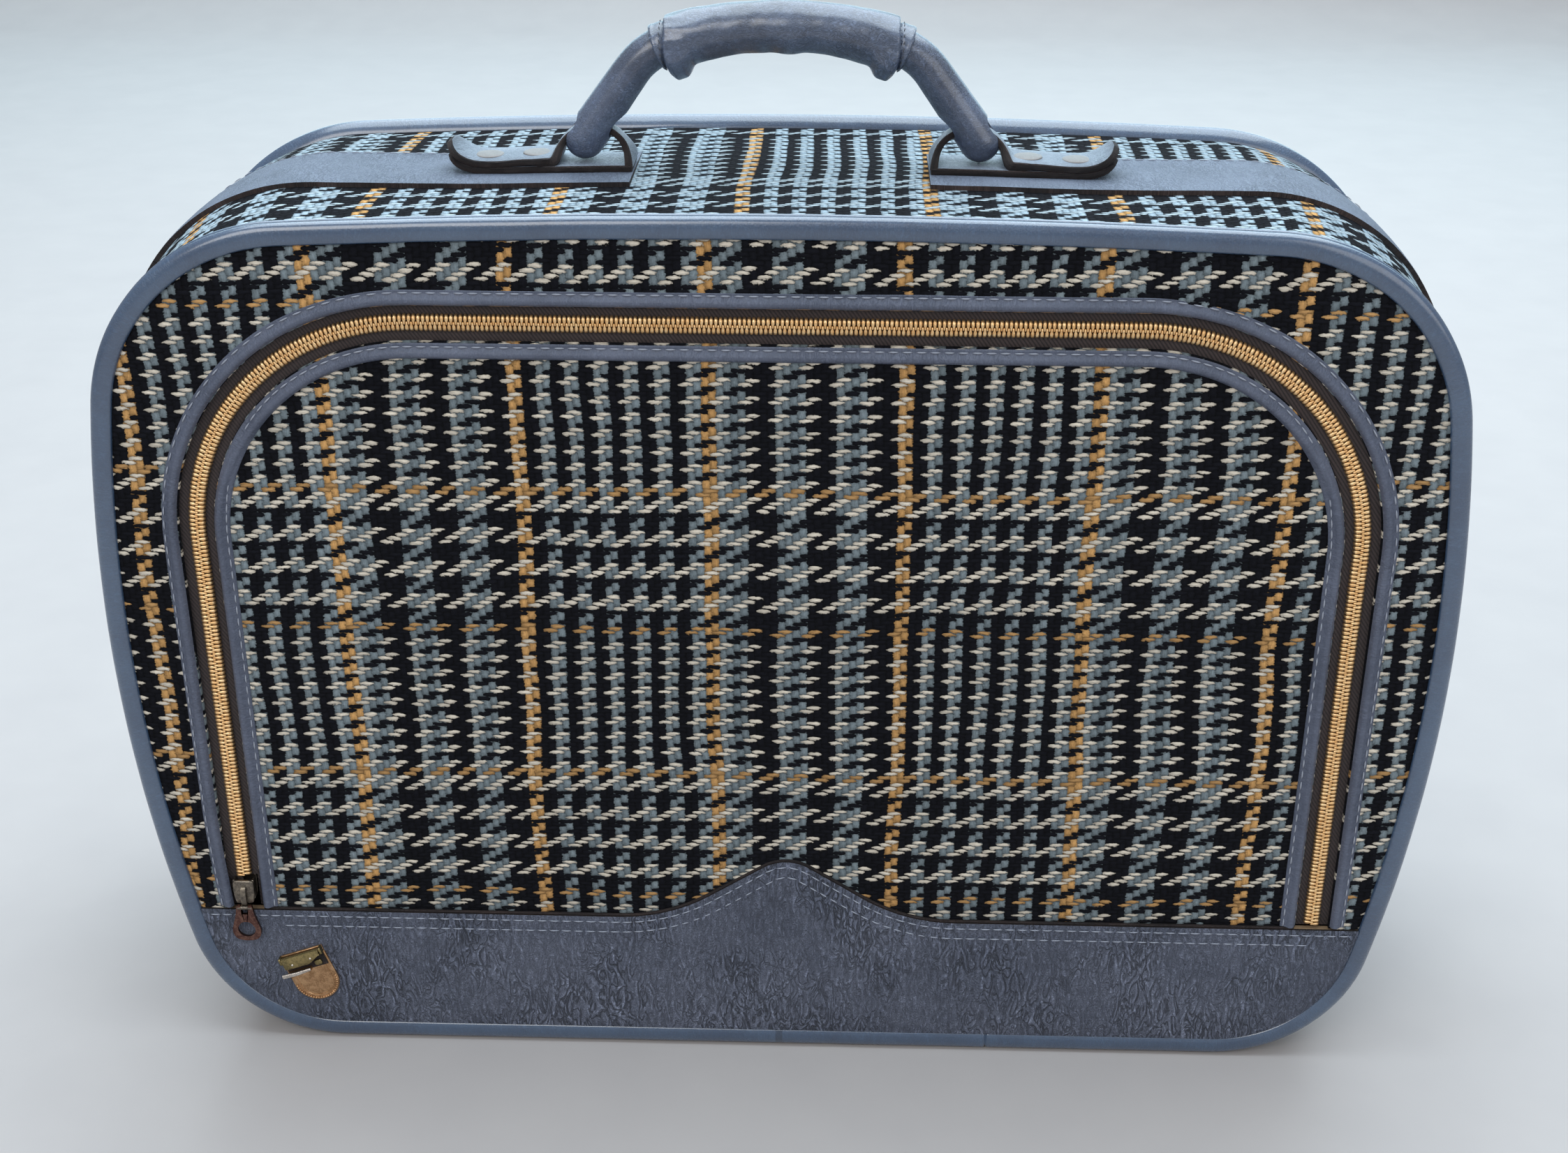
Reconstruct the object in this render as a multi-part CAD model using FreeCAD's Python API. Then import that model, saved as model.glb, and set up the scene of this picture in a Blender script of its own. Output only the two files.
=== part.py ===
import FreeCAD, Part
import math
import os

# Soft-sided upright travel case, millimetres.
# +X runs to the right seen from the front, +Y to the back, +Z up.
# The origin is on the floor, below the middle of the overall box.
V = FreeCAD.Vector

# ---- overall case ----
HEIGHT = 366.0                 # floor to the top of the piping
HALF_WIDTH = 263.5
DEPTH = 160.0                  # front face of the front piping to rear face of the rear piping
WIDEST_Z = 196.0               # height at which the case is widest
SIDE_R = 670.0                 # gentle bulge of the two sides
TOP_CORNER_R = 82.0
BASE_CORNER_R = 63.0
CROWN_R = 3900.0               # slight crown along the top
LOCK_PROUD = 4.8               # the lock stands this far in front of the piping

Y_FRONT = LOCK_PROUD - (DEPTH + LOCK_PROUD) / 2
Y_BACK = Y_FRONT + DEPTH
Y_MID = (Y_FRONT + Y_BACK) / 2

# ---- piping (welt) round the front and back edges ----
WELT_WIDTH = 8.5               # seen from the front
WELT_DEPTH = 8.5               # front to back
WELT_ROUND = 2.4
CHANNEL_WALL = 1.9
WIRE_R = 2.1

# ---- skins, measured inwards from the outline ----
STRIP_OUT = 2.8                # vinyl strip round the sides and base
TWEED_OUT = 4.0
BOARD_OUT = 5.6
LINING_OUT = 7.8
LINING_IN = 8.6
PLATE_IN = 10.4                # reinforcing plate under the handle
STRIP_WIDTH = 52.0
STRIP_GAP = 57.0               # the strip stops this far either side of the middle of the top
PLATE_HALF = 140.0
STIFFENER_HALF = 170.0
STIFFENER_T = 2.4
STIFFENER_GAP = 1.0            # between the stiffener and the piping, front and back

# ---- front and back panels ----
PANEL_SET = 1.5                # panels lie this far behind the face of the piping
PANEL_T = 3.0
TAPE_T = 0.7
LINING_T = 0.7
SKIN_T = 1.2                   # vinyl
BACK_TWEED_T = 1.5
BACK_BOARD_T = 2.5
F = Y_FRONT + PANEL_SET        # face of the tweed panels
REAR = Y_BACK - PANEL_SET

# ---- arched zip ----
ZIP_X = 222.5                  # centre line of each straight leg
ZIP_TOP = 324.5
ZIP_R = 88.0
CHAIN_GAP = 0.9
CHAIN_HALF = 3.0
CHAIN_T = 2.4
TAPE_IN = 1.0
TAPE_OUT = 14.0
TAPE_CLEAR = 0.2
PANEL_EDGE = 7.4
PIPE_IN = 7.2
PIPE_OUT = 13.3
PIPE_T = 2.0
PIPE_LIFT = 1.2                # the pipings end this far above the fold
ZIP_END = 66.5                 # lower end of the chain on the right
CHAIN_START = 80.6             # lower end on the left, just above the parked slider

# ---- fold line of the front flap and the vinyl base panel ----
FOLD_Z = 65.25
FOLD_GAP = 0.35
PEAK_Z = 94.0
PEAK_TIP_R = 17.0
PEAK_FOOT_R = 70.0
PEAK_SLOPE = math.radians(33)
PEAK_HALF = 66.0               # the hollow feet are cut off here, before they feather out

# ---- carrying handle ----
GRIP_TOP = 417.5               # centre line at the middle
ARCH_R = 140.0
ARCH_ANGLE = 18.0              # degrees each side of the middle
SHOULDER_R = 28.0
LEG_ANGLE = 54.0               # slope of the straight legs below level
PIVOT_DROP = 26.2              # along the leg from the shoulder to the pivot
FOOT_DROP = 32.5
TUBE_R = 7.3
FOOT_R = 8.0
CORE_R = 3.0
PAD_R = 9.0
WRAP_R = 10.2
WRAP_ANGLE = 30.0
PAD_ANGLE = 27.0
PIVOT_BORE_R = 5.9
CORE_END = 9.0                 # the core stops this far short of the pivot

# ---- leather handle tabs ----
TAB_WIDTH = 22.0
STRAP_T = 2.6
LOOP_WIDTH = 9.0
LOOP_OUTER_X = 87.3
LOOP_INNER_X = 58.4
LOOP_R = 7.3
LOOP_SEAT = 2.4                # the loop's feet are let into the strap this far below the crown
TAB_TAIL_X = 119.0             # where the free end starts to curl up
TAB_END_X = 130.0
TAIL_R = 13.0
TAIL_ANGLE = 58.0
RIVET_X = (95.0, 114.0)
RIVET_R = 2.0
RIVET_HEAD_R = 5.8
RIVET_HEAD_T = 1.0
RIVET_TAIL = 2.6               # shank standing through the plate, before the washer
WASHER_R = 4.5
WASHER_T = 1.2
WASHER_GAP = 0.5

# ---- slider, pull and lock ----
SLIDER_Z = (69.0, 80.0)
SLIDER_HALF = 4.4
SLIDER_CLEAR = 0.8
SLIDER_FRONT = (-1.9, -0.2)    # front plate, measured from the face of the tweed
SLIDER_BACK = (4.3, 5.5)
POST_HALF = 0.45
POST_HEIGHT = 2.5
FLANGE_T = 0.9
LUG_HALF = 1.1
LUG_R = 1.4
PIN_Y = F - 3.4
PIN_Z = 67.8
PIN_R = 0.8
PIN_HALF = 3.2
PULL_T = 1.3
PULL_EYE_R = 1.6
PULL_HALF = 6.1                # half width at the wide end
PULL_LOW_Z = 55.6              # where the straight sides meet the rounded end
PULL_END = 3.8
PULL_HOLE_R = 3.7
PULL_HOLE_Z = 57.4
LOCK_X = -197.5
LOCK_Z = 34.0
LOCK_TILT = 20.0
LOCK_HALF = 9.4
LOCK_TOP = 12.2
LOCK_SHOULDER = -3.0           # where the straight sides meet the round end
LOCK_RIM = 1.3
LOCK_RIM_Y = -1.6              # face of the raised rim, in front of the vinyl
MOUTH_Z = 2.6                  # the jaw closes down to here
HINGE_DROP = 1.3               # jaw pin below the top of the plate
HINGE_Y = -2.9
HINGE_R = 0.6
BARREL_R = 1.2
EAR_T = 1.2
JAW_GAP = 1.5                  # the jaw is this much narrower than the plate, each side
STUD_X = 5.5
STUD_Z = -4.0
STUD_R = 1.0
STUD_HEAD_R = 2.2
STUD_HEAD_T = 0.8

FAR = 400.0                    # reaches past the case in every direction


def unit(x, z):
    length = math.hypot(x, z)
    return (x / length, z / length)


def corner_centres():
    """Centres of the side, crown, top corner and base corner arcs of the right half."""
    side = (HALF_WIDTH - SIDE_R, WIDEST_Z)
    crown = (0.0, HEIGHT - CROWN_R)
    base = (side[0] + math.sqrt((SIDE_R - BASE_CORNER_R) ** 2 - (BASE_CORNER_R - WIDEST_Z) ** 2),
            BASE_CORNER_R)
    # the top corner circle touches the side arc and the crown arc from inside
    a = SIDE_R - TOP_CORNER_R
    b = CROWN_R - TOP_CORNER_R
    gap = math.hypot(crown[0] - side[0], crown[1] - side[1])
    u = unit(crown[0] - side[0], crown[1] - side[1])
    along = (a * a - b * b + gap * gap) / (2 * gap)
    off = math.sqrt(a * a - along * along)
    top = (side[0] + u[0] * along - u[1] * off, side[1] + u[1] * along + u[0] * off)
    return side, crown, top, base


def outline(inset, y):
    """Closed outline of the case, moved inwards by inset, in the plane at y."""
    side, crown, top, base = corner_centres()

    def on(centre, radius, direction):
        return (centre[0] + radius * direction[0], centre[1] + radius * direction[1])

    def between(d1, d2):
        return unit(d1[0] + d2[0], d1[1] + d2[1])

    to_base = unit(base[0] - side[0], base[1] - side[1])
    to_top = unit(top[0] - side[0], top[1] - side[1])
    to_crown = unit(top[0] - crown[0], top[1] - crown[1])
    rb, rs, rt, rc = [r - inset for r in (BASE_CORNER_R, SIDE_R, TOP_CORNER_R, CROWN_R)]
    down = (0.0, -1.0)
    right = [
        (on(base, rb, down), on(base, rb, between(down, to_base)), on(base, rb, to_base)),
        (on(base, rb, to_base), on(side, rs, between(to_base, to_top)), on(side, rs, to_top)),
        (on(side, rs, to_top), on(top, rt, between(to_top, to_crown)), on(top, rt, to_crown)),
    ]
    edges = []
    for start, middle, end in right:
        edges.append(Part.Arc(V(start[0], y, start[1]), V(middle[0], y, middle[1]),
                              V(end[0], y, end[1])).toShape())
    crown_end = right[-1][2]
    edges.append(Part.Arc(V(crown_end[0], y, crown_end[1]), V(0, y, HEIGHT - inset),
                          V(-crown_end[0], y, crown_end[1])).toShape())
    for start, middle, end in reversed(right):
        edges.append(Part.Arc(V(-end[0], y, end[1]), V(-middle[0], y, middle[1]),
                              V(-start[0], y, start[1])).toShape())
    floor = right[0][0]
    edges.append(Part.LineSegment(V(-floor[0], y, floor[1]), V(floor[0], y, floor[1])).toShape())
    return Part.Wire(edges)


def slab(inset, y0, y1):
    """The whole outline, inset, as a plate from y0 to y1."""
    return Part.Face(outline(inset, y0)).extrude(V(0, y1 - y0, 0))


def ring(outer, inner, y0, y1):
    return slab(outer, y0, y1).cut(slab(inner, y0 - 1, y1 + 1))


def box(x0, x1, y0, y1, z0, z1):
    return Part.makeBox(x1 - x0, y1 - y0, z1 - z0, V(x0, y0, z0))


def above_fold():
    return box(-FAR, FAR, -FAR, FAR, FOLD_Z - FOLD_GAP, FAR)


def below_fold():
    return box(-FAR, FAR, -FAR, FAR, -FAR, FOLD_Z - FOLD_GAP)


def upper_half(x0, x1):
    return box(x0, x1, -FAR, FAR, HEIGHT / 2, FAR)


def rod(radius, start, end):
    axis = V(*end) - V(*start)
    return Part.makeCylinder(radius, axis.Length, V(*start), axis)


def mirror_x(shape):
    return shape.mirror(V(0, 0, 0), V(1, 0, 0))


def arch(offset, z0, y0, y1):
    """Plate bounded by the zip's arched line, moved outwards by offset, down to z0."""
    x = ZIP_X + offset
    top = ZIP_TOP + offset
    radius = ZIP_R + offset
    bend = radius * (1 - math.sqrt(0.5))
    edges = []
    for sign in (1, -1):
        low = V(sign * x, y0, z0)
        spring = V(sign * x, y0, top - radius)
        crest = V(sign * (x - radius), y0, top)
        edges.append(Part.LineSegment(low, spring).toShape())
        edges.append(Part.Arc(spring, V(sign * (x - bend), y0, top - bend), crest).toShape())
    edges.append(Part.LineSegment(V(x - radius, y0, top), V(radius - x, y0, top)).toShape())
    edges.append(Part.LineSegment(V(-x, y0, z0), V(x, y0, z0)).toShape())
    wire = Part.Wire(Part.__sortEdges__(edges))
    return Part.Face(wire).extrude(V(0, y1 - y0, 0))


def band(outer, inner, z0, y0, y1):
    """U-shaped band along the zip between two offsets, open at the bottom."""
    return arch(outer, z0, y0, y1).cut(arch(inner, z0 - 1, y0 - 1, y1 + 1))


def save(name, shape):
    shape = shape.removeSplitter()
    if not shape.isValid():
        raise RuntimeError(name + " is not valid")
    shape.exportStep("parts/" + name + ".step")
    print("%-26s solids %d  volume %.0f mm3" % (name, len(shape.Solids), shape.Volume))


# ---------------------------------------------------------------- case shell

def welt(face_y, inward):
    """Vinyl piping, a channel open towards the inside that holds the frame wire."""
    y0, y1 = sorted((face_y, face_y + inward * WELT_DEPTH))
    body = ring(0.0, WELT_WIDTH, y0, y1)
    rim = []
    for edge in body.Edges:
        box_ = edge.BoundBox
        middle = edge.valueAt((edge.FirstParameter + edge.LastParameter) / 2)
        flat = box_.YMax - box_.YMin < 0.01
        if flat and is_on_outline(middle):
            rim.append(edge)
    body = body.makeFillet(WELT_ROUND, rim)
    g0, g1 = sorted((face_y + inward * CHANNEL_WALL, face_y + inward * (WELT_DEPTH + 1)))
    return body.cut(ring(CHANNEL_WALL, WELT_WIDTH - CHANNEL_WALL, g0, g1))


def is_on_outline(point):
    probe = Part.Vertex(V(point.x, 0, point.z))
    return probe.distToShape(outline(0.0, 0))[0] < 0.05


def frame_wire(face_y, inward):
    """Round spring-steel wire bent to the outline; it lies in the piping."""
    inset = WELT_WIDTH / 2
    y = face_y + inward * (CHANNEL_WALL + 0.3 + WIRE_R)
    path = outline(inset, y)
    profile = Part.Wire(Part.Circle(V(0, y, inset), V(1, 0, 0), WIRE_R).toShape())
    return path.makePipeShell([profile], True, True)


def gusset_rings():
    y0 = Y_FRONT + WELT_DEPTH
    y1 = Y_BACK - WELT_DEPTH
    tweed = ring(TWEED_OUT, BOARD_OUT, y0, y1)
    board = ring(BOARD_OUT, LINING_OUT, y0, y1)
    lining = ring(LINING_OUT, LINING_IN, y0, y1)
    return tweed, board, lining


def gusset_strip():
    """Vinyl strip along the middle of the gusset, from one handle tab round to the other."""
    strip = ring(STRIP_OUT, TWEED_OUT, Y_MID - STRIP_WIDTH / 2, Y_MID + STRIP_WIDTH / 2)
    return strip.cut(upper_half(-STRIP_GAP, STRIP_GAP))


def handle_plate():
    """Fibre plate inside the top that spreads the pull of the handle."""
    plate = ring(LINING_IN, PLATE_IN, Y_MID - STRIP_WIDTH / 2, Y_MID + STRIP_WIDTH / 2)
    return plate.common(upper_half(-PLATE_HALF, PLATE_HALF))


def base_board():
    """Stiff board lying on the lining along the bottom."""
    y0 = Y_FRONT + WELT_DEPTH + STIFFENER_GAP
    y1 = Y_BACK - WELT_DEPTH - STIFFENER_GAP
    board = ring(LINING_IN, LINING_IN + STIFFENER_T, y0, y1)
    return board.common(box(-STIFFENER_HALF, STIFFENER_HALF, y0, y1, 0, HEIGHT / 2))


# ---------------------------------------------------------------- front and back panels

def front_border():
    """Fixed tweed surround outside the zip, down to the fold line."""
    outer = slab(WELT_WIDTH, F, F + PANEL_T)
    face = outer.cut(arch(PANEL_EDGE, 0, F - 1, F + PANEL_T + 1))
    back = slab(WELT_WIDTH, F + PANEL_T, F + PANEL_T + TAPE_T)
    back = back.cut(arch(TAPE_OUT + TAPE_CLEAR, 0, F, FAR))
    return face.fuse(back).common(above_fold())


def front_border_lining():
    y0 = F + PANEL_T + TAPE_T
    lining = slab(WELT_WIDTH, y0, y0 + LINING_T)
    return lining.cut(arch(PANEL_EDGE, 0, F, FAR)).common(above_fold())


def front_base_vinyl():
    return slab(WELT_WIDTH, F - SKIN_T, F).common(below_fold())


def front_base_board():
    return slab(WELT_WIDTH, F, F + PANEL_T).common(below_fold())


def flap_panel():
    face = arch(-PANEL_EDGE, FOLD_Z + FOLD_GAP, F, F + PANEL_T)
    back = arch(-TAPE_OUT - TAPE_CLEAR, FOLD_Z + FOLD_GAP, F + PANEL_T, F + PANEL_T + TAPE_T)
    return face.fuse(back)


def flap_lining():
    y0 = F + PANEL_T + TAPE_T
    return arch(-PANEL_EDGE, FOLD_Z + FOLD_GAP, y0, y0 + LINING_T)


def peak_curve(y):
    """Ogee: rounded tip, straight flanks, hollow feet that run out level at the fold."""
    s, c = math.sin(PEAK_SLOPE), math.cos(PEAK_SLOPE)
    rise = PEAK_Z - FOLD_Z - FOLD_GAP
    flank = (rise - (PEAK_TIP_R + PEAK_FOOT_R) * (1 - c)) / s
    foot_x = (PEAK_TIP_R + PEAK_FOOT_R) * s + flank * c
    z0 = FOLD_Z + FOLD_GAP
    tip = (PEAK_TIP_R * s, PEAK_Z - PEAK_TIP_R * (1 - c))
    foot = (foot_x - PEAK_FOOT_R * s, z0 + PEAK_FOOT_R * (1 - c))
    half = PEAK_SLOPE / 2
    hollow = (foot_x - PEAK_FOOT_R * math.sin(half), z0 + PEAK_FOOT_R * (1 - math.cos(half)))
    edges = [Part.Arc(V(-tip[0], y, tip[1]), V(0, y, PEAK_Z), V(tip[0], y, tip[1])).toShape()]
    for sign in (1, -1):
        flank_line = Part.LineSegment(V(sign * tip[0], y, tip[1]), V(sign * foot[0], y, foot[1]))
        edges.append(flank_line.toShape())
        edges.append(Part.Arc(V(sign * foot[0], y, foot[1]), V(sign * hollow[0], y, hollow[1]),
                              V(sign * foot_x, y, z0)).toShape())
    edges.append(Part.LineSegment(V(-foot_x, y, z0), V(foot_x, y, z0)).toShape())
    return Part.Wire(Part.__sortEdges__(edges))


def peak_vinyl():
    skin = Part.Face(peak_curve(F - SKIN_T)).extrude(V(0, SKIN_T, 0))
    return skin.common(box(-PEAK_HALF, PEAK_HALF, -FAR, FAR, 0, HEIGHT))


def back_panel():
    return slab(WELT_WIDTH, REAR - BACK_TWEED_T, REAR)


def back_board():
    y1 = REAR - BACK_TWEED_T
    return slab(WELT_WIDTH, y1 - BACK_BOARD_T, y1)


def back_lining():
    y1 = REAR - BACK_TWEED_T - BACK_BOARD_T
    return slab(WELT_WIDTH, y1 - LINING_T, y1)


# ---------------------------------------------------------------- zip

def zip_pieces():
    z0 = FOLD_Z + FOLD_GAP
    tape_y = F + PANEL_T
    chain_y0 = tape_y - CHAIN_T
    pieces = {}
    pieces["outer_zip_piping"] = band(PIPE_OUT, PIPE_IN, z0 + PIPE_LIFT, F - PIPE_T, F)
    pieces["inner_zip_piping"] = band(-PIPE_IN, -PIPE_OUT, z0 + PIPE_LIFT, F - PIPE_T, F)
    pieces["outer_zip_tape"] = band(TAPE_OUT, TAPE_IN, z0, tape_y, tape_y + TAPE_T)
    inner_tape = band(-TAPE_IN, -TAPE_OUT, z0, tape_y, tape_y + TAPE_T)
    # the flap's tape is cut back round the parked slider so that the flap can come away
    beside = SLIDER_HALF + SLIDER_CLEAR
    pieces["inner_zip_tape"] = inner_tape.cut(box(-ZIP_X, -ZIP_X + beside, -FAR, FAR, 0, CHAIN_START))
    parked = box(-ZIP_X - beside, -ZIP_X + beside, -FAR, FAR, 0, CHAIN_START)
    outer_chain = band(CHAIN_HALF, CHAIN_GAP, ZIP_END, chain_y0, tape_y)
    inner_chain = band(-CHAIN_GAP, -CHAIN_HALF, ZIP_END, chain_y0, tape_y)
    pieces["outer_zip_chain"] = outer_chain.cut(parked)
    pieces["inner_zip_chain"] = inner_chain.cut(parked)
    return pieces


def zip_slider():
    """Front and back plates joined by the post between the tapes, with a lug for the pull."""
    x0, x1 = -ZIP_X - SLIDER_HALF, -ZIP_X + SLIDER_HALF
    z0, z1 = SLIDER_Z
    front = box(x0, x1, F + SLIDER_FRONT[0], F + SLIDER_FRONT[1], z0, z1)
    back = box(x0, x1, F + SLIDER_BACK[0], F + SLIDER_BACK[1], z0, z1)
    middle = (F + SLIDER_FRONT[0], F + SLIDER_BACK[1])
    post = box(-ZIP_X - POST_HALF, -ZIP_X + POST_HALF, middle[0], middle[1], z0, z0 + POST_HEIGHT)
    left = box(x0, x0 + FLANGE_T, F + SLIDER_FRONT[0], F + CHAIN_T, z0, z1)
    right = box(x1 - FLANGE_T, x1, F + SLIDER_FRONT[0], F + CHAIN_T, z0, z1)
    lug = box(-ZIP_X - LUG_HALF, -ZIP_X + LUG_HALF, PIN_Y, F + SLIDER_FRONT[0], PIN_Z, PIN_Z + 3 * LUG_R)
    barrel = rod(LUG_R, (-ZIP_X - LUG_HALF, PIN_Y, PIN_Z), (-ZIP_X + LUG_HALF, PIN_Y, PIN_Z))
    pin = rod(PIN_R, (-ZIP_X - PIN_HALF, PIN_Y, PIN_Z), (-ZIP_X + PIN_HALF, PIN_Y, PIN_Z))
    return front.fuse([back, post, left, right, lug, barrel, pin])


def pull_tab():
    """Flat tapered tab with a round hole; its eye turns on the slider's pin."""
    y0 = PIN_Y - PULL_T / 2
    x = -ZIP_X
    top_left = V(x - PIN_HALF, y0, PIN_Z)
    top_right = V(x + PIN_HALF, y0, PIN_Z)
    low_left = V(x - PULL_HALF, y0, PULL_LOW_Z)
    low_right = V(x + PULL_HALF, y0, PULL_LOW_Z)
    sides = [Part.LineSegment(low_left, top_left).toShape(),
             Part.LineSegment(top_left, top_right).toShape(),
             Part.LineSegment(top_right, low_right).toShape(),
             Part.Arc(low_right, V(x, y0, PULL_LOW_Z - PULL_END), low_left).toShape()]
    tab = Part.Face(Part.Wire(sides)).extrude(V(0, PULL_T, 0))
    tab = tab.fuse(rod(PULL_EYE_R, (x - PIN_HALF, PIN_Y, PIN_Z), (x + PIN_HALF, PIN_Y, PIN_Z)))
    tab = tab.cut(rod(PIN_R + 0.05, (x - PULL_HALF, PIN_Y, PIN_Z), (x + PULL_HALF, PIN_Y, PIN_Z)))
    slot = LUG_HALF + 0.3
    reach = 2 * PULL_EYE_R
    tab = tab.cut(box(x - slot, x + slot, PIN_Y - reach, PIN_Y + reach, PIN_Z - reach, PIN_Z + reach))
    return tab.cut(rod(PULL_HOLE_R, (x, y0 - 1, PULL_HOLE_Z), (x, y0 + PULL_T + 1, PULL_HOLE_Z)))


# ---------------------------------------------------------------- handle

def arch_point(angle):
    """Point on the handle's centre line and its outward direction, angle in degrees from the middle."""
    a = math.radians(min(angle, ARCH_ANGLE))
    x = ARCH_R * math.sin(a)
    z = GRIP_TOP - ARCH_R * (1 - math.cos(a))
    if angle > ARCH_ANGLE:
        c = (x - SHOULDER_R * math.sin(a), z - SHOULDER_R * math.cos(a))
        b = math.radians(angle)
        x = c[0] + SHOULDER_R * math.sin(b)
        z = c[1] + SHOULDER_R * math.cos(b)
    return x, z


def leg_point(drop):
    """Point on the right leg, drop millimetres below the shoulder."""
    x, z = arch_point(LEG_ANGLE)
    a = math.radians(LEG_ANGLE)
    return x + drop * math.cos(a), z - drop * math.sin(a)


def bend_tube(radius, centre, start, end, turn):
    """Torus segment about a Y axis through centre; start and end are angles from straight up."""
    a = math.radians(start)
    p = V(centre[0] + turn * math.sin(a), Y_MID, centre[1] + turn * math.cos(a))
    tangent = V(math.cos(a), 0, -math.sin(a))
    disc = Part.Face(Part.Wire(Part.Circle(p, tangent, radius).toShape()))
    return disc.revolve(V(centre[0], Y_MID, centre[1]), V(0, 1, 0), end - start)


def handle_arch(radius, angle):
    """Round bar along the top of the handle out to the given angle either side."""
    crown = bend_tube(radius, (0, GRIP_TOP - ARCH_R), -min(angle, ARCH_ANGLE),
                      min(angle, ARCH_ANGLE), ARCH_R)
    if angle <= ARCH_ANGLE:
        return crown
    x, z = arch_point(ARCH_ANGLE)
    a = math.radians(ARCH_ANGLE)
    c = (x - SHOULDER_R * math.sin(a), z - SHOULDER_R * math.cos(a))
    right = bend_tube(radius, c, ARCH_ANGLE, angle, SHOULDER_R)
    return crown.fuse([right, mirror_x(right)])


def leg(radius0, radius1, drop):
    x0, z0 = leg_point(0)
    x1, z1 = leg_point(drop)
    axis = V(x1 - x0, 0, z1 - z0)
    if abs(radius0 - radius1) < 1e-6:
        return Part.makeCylinder(radius0, axis.Length, V(x0, Y_MID, z0), axis)
    return Part.makeCone(radius0, radius1, axis.Length, V(x0, Y_MID, z0), axis)


def handle_core():
    rods = leg(CORE_R, CORE_R, PIVOT_DROP - CORE_END)
    return handle_arch(CORE_R, LEG_ANGLE).fuse([rods, mirror_x(rods)])


def handle_tube():
    """Moulded tube with rounded feet; each foot has a cross hole for its leather loop."""
    foot_x, foot_z = leg_point(FOOT_DROP)
    right = leg(TUBE_R, FOOT_R, FOOT_DROP).fuse(Part.makeSphere(FOOT_R, V(foot_x, Y_MID, foot_z)))
    _, pivot_z = leg_point(PIVOT_DROP)
    bore = rod(PIVOT_BORE_R, (LOOP_INNER_X - 2 * FOOT_R, Y_MID, pivot_z),
               (LOOP_OUTER_X + 2 * FOOT_R, Y_MID, pivot_z))
    right = right.cut(bore)
    tube = handle_arch(TUBE_R, LEG_ANGLE).fuse([right, mirror_x(right)])
    return tube.cut(handle_core())


def grip_padding():
    return handle_arch(PAD_R, PAD_ANGLE).cut(handle_arch(TUBE_R, LEG_ANGLE))


def grip_wrap():
    outer = handle_arch(WRAP_R, WRAP_ANGLE)
    return outer.cut(handle_arch(PAD_R, PAD_ANGLE)).cut(handle_arch(TUBE_R, LEG_ANGLE))


# ---------------------------------------------------------------- handle tabs

def loop_profile(inset, pivot_z):
    """Arched outline of the right-hand loop in the XZ plane, moved in by inset."""
    x0 = LOOP_INNER_X - STRAP_T / 2 + inset
    x1 = LOOP_OUTER_X + STRAP_T / 2 - inset
    z1 = pivot_z + STRAP_T / 2 - inset
    z0 = HEIGHT - LOOP_SEAT
    r = LOOP_R + STRAP_T / 2 - inset
    bend = r * (1 - math.sqrt(0.5))
    y = Y_MID - LOOP_WIDTH / 2
    edges = [
        Part.LineSegment(V(x0, y, z0), V(x0, y, z1 - r)).toShape(),
        Part.Arc(V(x0, y, z1 - r), V(x0 + bend, y, z1 - bend), V(x0 + r, y, z1)).toShape(),
        Part.LineSegment(V(x0 + r, y, z1), V(x1 - r, y, z1)).toShape(),
        Part.Arc(V(x1 - r, y, z1), V(x1 - bend, y, z1 - bend), V(x1, y, z1 - r)).toShape(),
        Part.LineSegment(V(x1, y, z1 - r), V(x1, y, z0)).toShape(),
        Part.LineSegment(V(x1, y, z0), V(x0, y, z0)).toShape(),
    ]
    return Part.Face(Part.Wire(edges)).extrude(V(0, LOOP_WIDTH, 0))


def strap_layer(level, x0, x1):
    """One thickness of strap lying on the crown of the case."""
    layer = ring(level - STRAP_T, level, Y_MID - TAB_WIDTH / 2, Y_MID + TAB_WIDTH / 2)
    return layer.common(upper_half(x0, x1))


def tab_tail():
    """Free end of the strap, curled upwards."""
    z = crown_z(TAB_TAIL_X) - STRIP_OUT + 2 * STRAP_T
    y = Y_MID - TAB_WIDTH / 2
    c = (TAB_TAIL_X, z + TAIL_R)
    a = math.radians(TAIL_ANGLE)
    edges = []
    for r in (TAIL_R, TAIL_R + STRAP_T):
        p0 = V(c[0], y, c[1] - r)
        p1 = V(c[0] + r * math.sin(a / 2), y, c[1] - r * math.cos(a / 2))
        p2 = V(c[0] + r * math.sin(a), y, c[1] - r * math.cos(a))
        edges.append(Part.Arc(p0, p1, p2).toShape())
    ends = [(e.Vertexes[0].Point, e.Vertexes[-1].Point) for e in edges]
    edges.append(Part.LineSegment(ends[0][0], ends[1][0]).toShape())
    edges.append(Part.LineSegment(ends[0][1], ends[1][1]).toShape())
    wire = Part.Wire(Part.__sortEdges__(edges))
    return Part.Face(wire).extrude(V(0, TAB_WIDTH, 0))


def crown_z(x):
    return HEIGHT - CROWN_R + math.sqrt(CROWN_R ** 2 - x * x)


def handle_tab():
    """Right-hand leather tab: folded strap, loop through the handle's foot, curled tail."""
    _, pivot_z = leg_point(PIVOT_DROP)
    lower = strap_layer(STRIP_OUT, LOOP_INNER_X - STRAP_T / 2, TAB_END_X)
    upper = strap_layer(STRIP_OUT - STRAP_T, LOOP_OUTER_X - STRAP_T / 2, TAB_TAIL_X + 0.4)
    loop = loop_profile(0, pivot_z).cut(loop_profile(STRAP_T, pivot_z))
    return lower.fuse([upper, loop, tab_tail()])


def rivet_spots():
    return [sign * x for sign in (-1, 1) for x in RIVET_X]


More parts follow.
